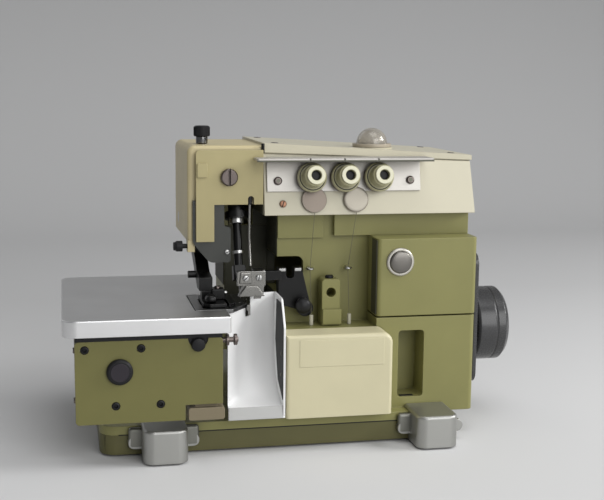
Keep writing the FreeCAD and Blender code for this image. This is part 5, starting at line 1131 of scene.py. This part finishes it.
@dataclass
class SkirtTrim(Trim):
    """Screws, black sheet of painted shadow in the gap, notch knob and plug face of the skirt under the cloth
    plate.
    """

    HOLES = ((-171.4, 98.0), (-128.0, 98.0), (-148.0, 52.3), (-113.0, 52.3))

    pieces: Pieces = (
        *(
            Screw(
                f"skirt_screw_{number}", BLACK, SWING, (across, -109.0, height), AHEAD, radius=3.3,
                height=3.7, drive=Drive.SOCKET,
            )
            for number, (across, height) in enumerate(HOLES, 1)
        ),
        Screw("skirt_end_screw_1", SCREW, SWING, (-178.9, -106.0, 97.0), LEFT, 2.4, 1.3),
        Screw("skirt_end_screw_2", SCREW, SWING, (-178.9, -106.0, 57.0), LEFT, 2.4, 1.3),
        # black sheet of painted shadow filling the gap between the skirt and the cloth plate
        Block("skirt_gap_shadow", BLACK, SWING, (-178.6, -112.35, 104.6), (-64.0, -111.8, 109.1), 0.1),
        Block("notch_back", BLACK, SWING, (-91.5, -110.8, 96.2), (-74.9, -109.2, 104.4), 0.1),
        Turned(
            "notch_knob", BLACK, SWING,
            ((0.0, 0.0), (5.6, 0.0), (5.6, 1.8), (4.928, 2.9), (3.08, 3.4), (0.0, 3.4)),
            (-83.2, -111.9, 99.6), AHEAD,
        ),
        Turned(
            "plug_face", PLUG, SWING, ((0.0, 0.0), (7.6, 0.0), (7.144, 0.3), (6.08, 0.2), (0.0, 0.45)),
            (-144.7, -115.95, 80.0), AHEAD,
        ),
    )


@dataclass
class NeedleTrim(Trim):
    """Bright collars of the needle bar and its bush, with heights along the bar."""

    FOOT, WAY = (-42.0, -63.0, 122.2), (0.0, 0.309, 0.951)

    pieces: Pieces = (
        Turned(
            "needle_collar", STEEL, "needle_carrier",
            ((3.5, 41.0), (4.2, 41.0), (4.5, 41.4), (4.5, 43.6), (3.5, 43.6)), FOOT, WAY, True,
        ),
        Turned(
            "bush_collar", STEEL, FRAME,
            ((3.95, 67.0), (5.7, 67.0), (6.0, 67.4), (6.0, 71.1), (3.95, 71.1)), FOOT, WAY, True,
        ),
    )


@dataclass
class PresserTrim(Trim):
    """Toe, hinge block, pin and screw of the presser foot."""

    pieces: Pieces = (
        Block("foot_toe", DARK_STEEL, PRESSER, (-73.5, -82.5, 125.4), (-63.5, -70.0, 132.5), 3.2, 0.8),
        Block("foot_block", DARK_STEEL, PRESSER, (-67.0, -66.0, 125.4), (-55.0, -53.5, 134.5), 1.0, 0.9),
        Drum.rod("foot_pin", STEEL, PRESSER, 1.6, (-69.0, -60.0, 130.5), (-53.0, -60.0, 130.5), 0.3),
        Screw("foot_screw", SCREW, PRESSER, (-61.0, -60.0, 134.4), UP, 2.7, 1.9, 30.0),
    )


@dataclass
class KnifeTrim(Trim):
    """Cap of the knob, shield roof, lug, bolts and bright pads of the upper knife."""

    pieces: Pieces = (
        Turned(
            "knife_knob_cap", BLACK, KNIFE,
            ((0.0, 0.0), (5.4, 0.0), (6.5, 1.0), (6.8, 2.4), (6.4, 4.2), (5.1, 5.8), (2.8, 6.8), (0.0, 7.1)),
            (12.0, -59.95, 117.6), AHEAD,
        ),
        Block("shield_roof", WORKED_STEEL, KNIFE, (-45.5, -75.6, 129.4), (-23.4, -72.9, 138.0), 0.5, 0.42),
        Block("shield_lug", WORKED_STEEL, KNIFE, (-44.6, -74.4, 140.0), (-34.0, -72.9, 149.2), 0.7, 0.8),
        Screw("shield_bolt_1", STEEL, KNIFE, (-39.3, -74.3, 144.6), AHEAD, 2.6, 1.7, 40.0),
        Screw("shield_bolt_2", STEEL, KNIFE, (-28.2, -72.95, 144.6), AHEAD, 2.6, 1.7, 80.0),
        Block("knife_pad_left", STEEL, KNIFE, (-7.6, -54.4, 146.0), (-1.9, -53.9, 148.5)),
        Block("knife_pad_right", STEEL, KNIFE, (5.9, -54.4, 146.0), (11.6, -53.9, 148.5)),
    )


@dataclass
class ShadeSheets(Trim):
    """Sheets of painted shade on the casting behind and beside the needle, where it lies in deep shade."""

    pieces: Pieces = (
        Block("column_face", SHADE_DARK, FRAME, (-44.8, 11.2, 98.5), (-6.3, 12.1, 177.6)),
        Block("column_face_right", SHADE_DARK, FRAME, (-6.1, 11.2, 124.2), (0.9, 12.1, 155.8)),
        Block("column_face_top", SHADE_DARK, FRAME, (-19.6, 11.2, 177.8), (-6.3, 12.1, 193.3)),
        Block("column_side", SHADE_DARK, FRAME, (-45.8, 12.5, 123.5), (-44.9, 66.5, 193.0)),
        Block("wall_face_high", SHADE_DARK, FRAME, (-6.8, -35.0, 157.0), (-5.9, 10.8, 193.0)),
        Block("wall_face_low", SHADE_DARK, FRAME, (-6.8, -35.0, 98.5), (-5.9, 10.8, 123.5)),
        Block("housing_face", SHADE_DARK, FRAME, (-20.8, -44.0, 194.0), (-19.9, 51.0, 202.6)),
    )


@dataclass
class BodyTrim(Trim):
    """Screws of the sloping lid and of the belt guard, cover panel, guide step and the slot in the grip."""

    LID_WAY = (0.05676, 0.0, 1.0)

    pieces: Pieces = (
        Screw("lid_screw_1", SCREW, FRAME, (-8.0, -32.0, 253.21888), LID_WAY, 3.2, 0.6, 37.0),
        Screw("lid_screw_2", SCREW, FRAME, (-8.0, 55.0, 253.21888), LID_WAY, 3.2, 0.6, 74.0),
        Screw("lid_screw_3", SCREW, FRAME, (150.0, -32.0, 244.2508), LID_WAY, 3.2, 0.6, 111.0),
        Screw("lid_screw_4", SCREW, FRAME, (150.0, 55.0, 244.2508), LID_WAY, 3.2, 0.6, 148.0),
        Screw("belt_guard_screw_1", SCREW, FRAME, (169.45, -30.0, 146.0), RIGHT, 3.2, 1.8, 50.0),
        Screw("belt_guard_screw_2", SCREW, FRAME, (169.45, 30.0, 146.0), RIGHT, 3.2, 1.8, 100.0),
        Block("cover_panel", COVER_CREAM, "front_cover", (2.4, -95.3, 72.4), (74.5, -94.8, 95.2), 0.25),
        Block("guide_step", GREEN, FRAME, (29.9, -58.4, 99.4), (46.4, -55.9, 112.6), 0.5),
        Screw("guide_screw", BLACK, FRAME, (37.5, -48.0, 138.45), UP, 3.6, 2.4, 20.0),
        Block("grip_drain", BLACK, FRAME, (98.5, -65.0, 34.8), (110.5, -60.5, 35.5)),
    )


@dataclass
class BaseTrim(Trim):
    """Webs of the feet, and black strips of painted shadow in the gap between the pan and the casting."""

    pieces: Pieces = (
        Block("foot_web_front_left", WEB_SILVER, FRAME, (-137.3, -87.2, 8.2), (-79.7, -80.9, 25.6), 2.6),
        Block("foot_web_front_right", WEB_SILVER, FRAME, (90.7, -87.2, 8.2), (119.5, -80.9, 25.6), 2.6),
        # black strip of painted shadow in the front gap between pan and casting
        Block("pan_gap_shadow_front", BLACK, FRAME, (-145.0, -81.15, 18.1), (113.0, -80.7, 19.0), 0.1),
        Block("foot_web_rear_left", WEB_SILVER, FRAME, (-137.3, 80.9, 8.2), (-79.7, 87.2, 25.6), 2.6),
        Block("foot_web_rear_right", WEB_SILVER, FRAME, (90.7, 80.9, 8.2), (119.5, 87.2, 25.6), 2.6),
        # black strip of painted shadow in the rear gap between pan and casting
        Block("pan_gap_shadow_rear", BLACK, FRAME, (-145.0, 80.7, 18.1), (113.0, 81.15, 19.0), 0.1),
    )


@dataclass
class ChuteTrim(Trim):
    """Dark strip of painted shadow with rivets on the fin of the waste chute, painted shade on the front of
    its lip, and a strip of painted shadow on the door's left side.
    """

    RIVET = ((0.0, 0.0), (2.0, 0.0), (1.7, 0.6), (0.9, 0.9), (0.0, 1.0))
    FIN_SHADOW = ((-95.4, 46.0), (-95.4, 106.2), (-84.2, 125.0), (-66.0, 125.0), (-62.0, 90.0), (-74.0, 58.0))
    LIP_SIDE = ((-94.9, 41.05), (-95.3, 41.1), (-97.3, 30.95), (-96.9, 30.95))

    pieces: Pieces = (
        # black strip of painted shadow on the inner face of the chute's fin, which faces away from the light
        Strip("chute_fin_shadow", RUBBER, FRAME, FIN_SHADOW, -12.0, -11.3, 0.15),
        Turned("fin_rivet_1", SOCKET, FRAME, RIVET, (-11.95, -91.0, 66.0), LEFT),
        Turned("fin_rivet_2", SOCKET, FRAME, RIVET, (-11.95, -91.0, 84.0), LEFT),
        # darker facing on the front of the chute's lip, painted shade
        Strip("chute_lip_shade", SHADED_LIP, FRAME, LIP_SIDE, -56.6, -11.6, 0.1),
        # dark strip of painted shadow on the door's left side, beside the casting
        Block("door_side_shadow", SHADE_DARK, FRAME, (74.3, -66.2, 108.4), (75.2, -51.0, 172.6), 0.3),
    )


@dataclass(frozen=True)
class View:
    """Camera of the photograph, fitted to its edges.

    Args:
        place: position in millimetres.
        yaw: turn to the right of straight ahead, in degrees.
        pitch: tilt down, in degrees.
        roll: roll, in degrees.
        focal: focal length in pixels of the photograph.
    """

    place: Point = (-184.7, -972.0, 306.0)
    yaw: float = 12.1
    pitch: float = 8.6
    roll: float = 0.6
    focal: float = 1120.0


@dataclass(frozen=True)
class Lamp:
    """Square lamp of the studio.

    Args:
        name: name of the lamp.
        place: its place in metres.
        width: its width in metres.
        power: its power in watts.
    """

    name: str
    place: Point
    width: float
    power: float


@dataclass
class Studio:
    """Sets the camera, the floor and the soft light, in metres.

    Args:
        view: camera of the photograph.
        lamps: the lamps.
        falls: axis, start, end, and the shade at both, of each fall of the painted shade on the floor.
    """

    view: View
    lamps: tuple[Lamp, ...] = (
        Lamp("front_lamp", (1.15, -3.1, 1.35), 2.5, 62.0),
        Lamp("right_lamp", (1.8, -0.5, 1.1), 0.8, 25.0),
        Lamp("top_lamp", (0.2, -0.5, 1.9), 1.2, 9.0),
        Lamp("rear_lamp", (-1.2, 1.5, 1.4), 1.4, 4.0),
    )
    falls: tuple[tuple[str, float, float, float, float], ...] = (
        ("Y", -0.1, 0.6, 0.68, 0.56), ("Z", 0.0, 0.7, 1.0, 0.70),
    )

    SENSOR, CLIP = 36.0, (0.05, 50.0)
    LAMP_AIM = (0.0, 0.0, 0.12)
    AIR_COLOUR, AIR_POWER, AIR_SEEN = (0.80, 0.81, 0.83), 0.28, 0.52
    FLOOR_LEFT, FLOOR_RIGHT, FLOOR_START = -4.0, 4.0, -6.0
    BEND_START, BEND_END, BEND_STEPS, BACKDROP_TOP = 1.2, 2.0, 10, 4.0
    FLOOR_ROUGHNESS, FLOOR_SHINE = 0.9, 0.1

    def set_up(self) -> None:
        """Make the whole studio."""
        bpy.context.scene.view_settings.view_transform = "Standard"
        self._camera()
        self._floor()
        self._air()
        for lamp in self.lamps:
            self._light(lamp)

    def _camera(self) -> None:
        """Place the camera as the photograph was taken."""
        view = self.view
        yaw, pitch, roll = (math.radians(angle) for angle in (view.yaw, view.pitch, view.roll))
        ahead = Vector((math.sin(yaw) * math.cos(pitch), math.cos(yaw) * math.cos(pitch), -math.sin(pitch)))
        right = Vector((math.cos(yaw), -math.sin(yaw), 0.0))
        up = right.cross(ahead)
        across = math.cos(roll) * right + math.sin(roll) * up
        above = math.cos(roll) * up - math.sin(roll) * right
        data = bpy.data.cameras.new("photo_camera")
        data.sensor_width = self.SENSOR
        data.lens = self.SENSOR * view.focal / IMAGE_WIDTH
        data.clip_start, data.clip_end = self.CLIP
        camera = bpy.data.objects.new("photo_camera", data)
        turn = Matrix((across, above, -ahead)).transposed().to_4x4()
        camera.matrix_world = Matrix.Translation(Vector(view.place) * MM) @ turn
        bpy.context.scene.collection.objects.link(camera)
        bpy.context.scene.camera = camera

    def _floor(self) -> None:
        """Make the pale floor, which rises behind into a backdrop."""
        bend, back = self.BEND_START, self.BEND_END
        radius = back - bend
        profile = [(self.FLOOR_START, 0.0), (bend, 0.0)]
        for step in range(1, self.BEND_STEPS + 1):
            angle = math.radians(90.0 * step / self.BEND_STEPS)
            profile.append((bend + radius * math.sin(angle), radius - radius * math.cos(angle)))
        profile.append((back, self.BACKDROP_TOP))
        shape = bmesh.new()
        row = [shape.verts.new((self.FLOOR_LEFT, *corner)) for corner in profile]
        line = [shape.edges.new(pair) for pair in zip(row, row[1:])]
        swept = bmesh.ops.extrude_edge_only(shape, edges=line)["geom"]
        moved = [item for item in swept if isinstance(item, bmesh.types.BMVert)]
        bmesh.ops.translate(shape, vec=(self.FLOOR_RIGHT - self.FLOOR_LEFT, 0.0, 0.0), verts=moved)
        mesh = bpy.data.meshes.new("studio_floor")
        shape.to_mesh(mesh)
        shape.free()
        mesh.shade_smooth()
        mesh.materials.append(self._paper())
        floor = bpy.data.objects.new("studio_floor", mesh)
        bpy.context.scene.collection.objects.link(floor)

    def _paper(self) -> bpy.types.Material:
        """Make the material of the floor, with painted shade that darkens it to the back and upwards.

        Returns:
            The new material.
        """
        material = bpy.data.materials.new("floor_paper")
        material.use_nodes = True
        tree = material.node_tree
        shader = tree.nodes["Principled BSDF"]
        set_sockets(shader, {"Roughness": self.FLOOR_ROUGHNESS, "Specular IOR Level": self.FLOOR_SHINE})
        place = add_node(tree, "TexCoord")
        parts = add_node(tree, "SeparateXYZ")
        tree.links.new(place.outputs["Object"], parts.inputs["Vector"])
        shade = add_node(tree, "Math")
        shade.operation = "MULTIPLY"
        for number, (axis, start, end, near, far) in enumerate(self.falls):
            fall = ranged(tree, parts.outputs[axis], {
                "From Min": start, "From Max": end, "To Min": near, "To Max": far,
            })
            tree.links.new(fall, shade.inputs[number])
        tree.links.new(shade.outputs["Value"], shader.inputs["Base Color"])
        return material

    def _air(self) -> None:
        """Light the scene from all round, and show the camera a brighter air."""
        world = bpy.data.worlds.new("studio_air")
        world.use_nodes = True
        tree = world.node_tree
        air = tree.nodes["Background"]
        set_sockets(air, {"Color": (*self.AIR_COLOUR, 1.0)})
        seen = add_node(tree, "LightPath")
        levels = {"To Min": self.AIR_POWER, "To Max": self.AIR_SEEN}
        level = ranged(tree, seen.outputs["Is Camera Ray"], levels)
        tree.links.new(level, air.inputs["Strength"])
        bpy.context.scene.world = world

    def _light(self, lamp: Lamp) -> None:
        """Hang a lamp and turn it to the machine.

        Args:
            lamp: the lamp.
        """
        data = bpy.data.lights.new(lamp.name, "AREA")
        data.shape = "SQUARE"
        data.size = lamp.width
        data.energy = lamp.power
        thing = bpy.data.objects.new(lamp.name, data)
        thing.location = lamp.place
        aim = Vector(self.LAMP_AIM) - Vector(lamp.place)
        thing.rotation_euler = aim.to_track_quat("-Z", "Y").to_euler()
        bpy.context.scene.collection.objects.link(thing)


def main() -> None:
    """Build the scene."""
    logging.basicConfig(level=logging.INFO)
    Studio(View()).set_up()
    bench = Bench(Painter())
    Dresser(bench).dress_all()
    for trim in (
        TensionTrim(), HeadTrim(), SkirtTrim(), NeedleTrim(), PresserTrim(), KnifeTrim(), ShadeSheets(),
        BodyTrim(), BaseTrim(), ChuteTrim(),
    ):
        trim.build(bench)
    bpy.context.view_layer.update()


if __name__ == "__main__":
    main()
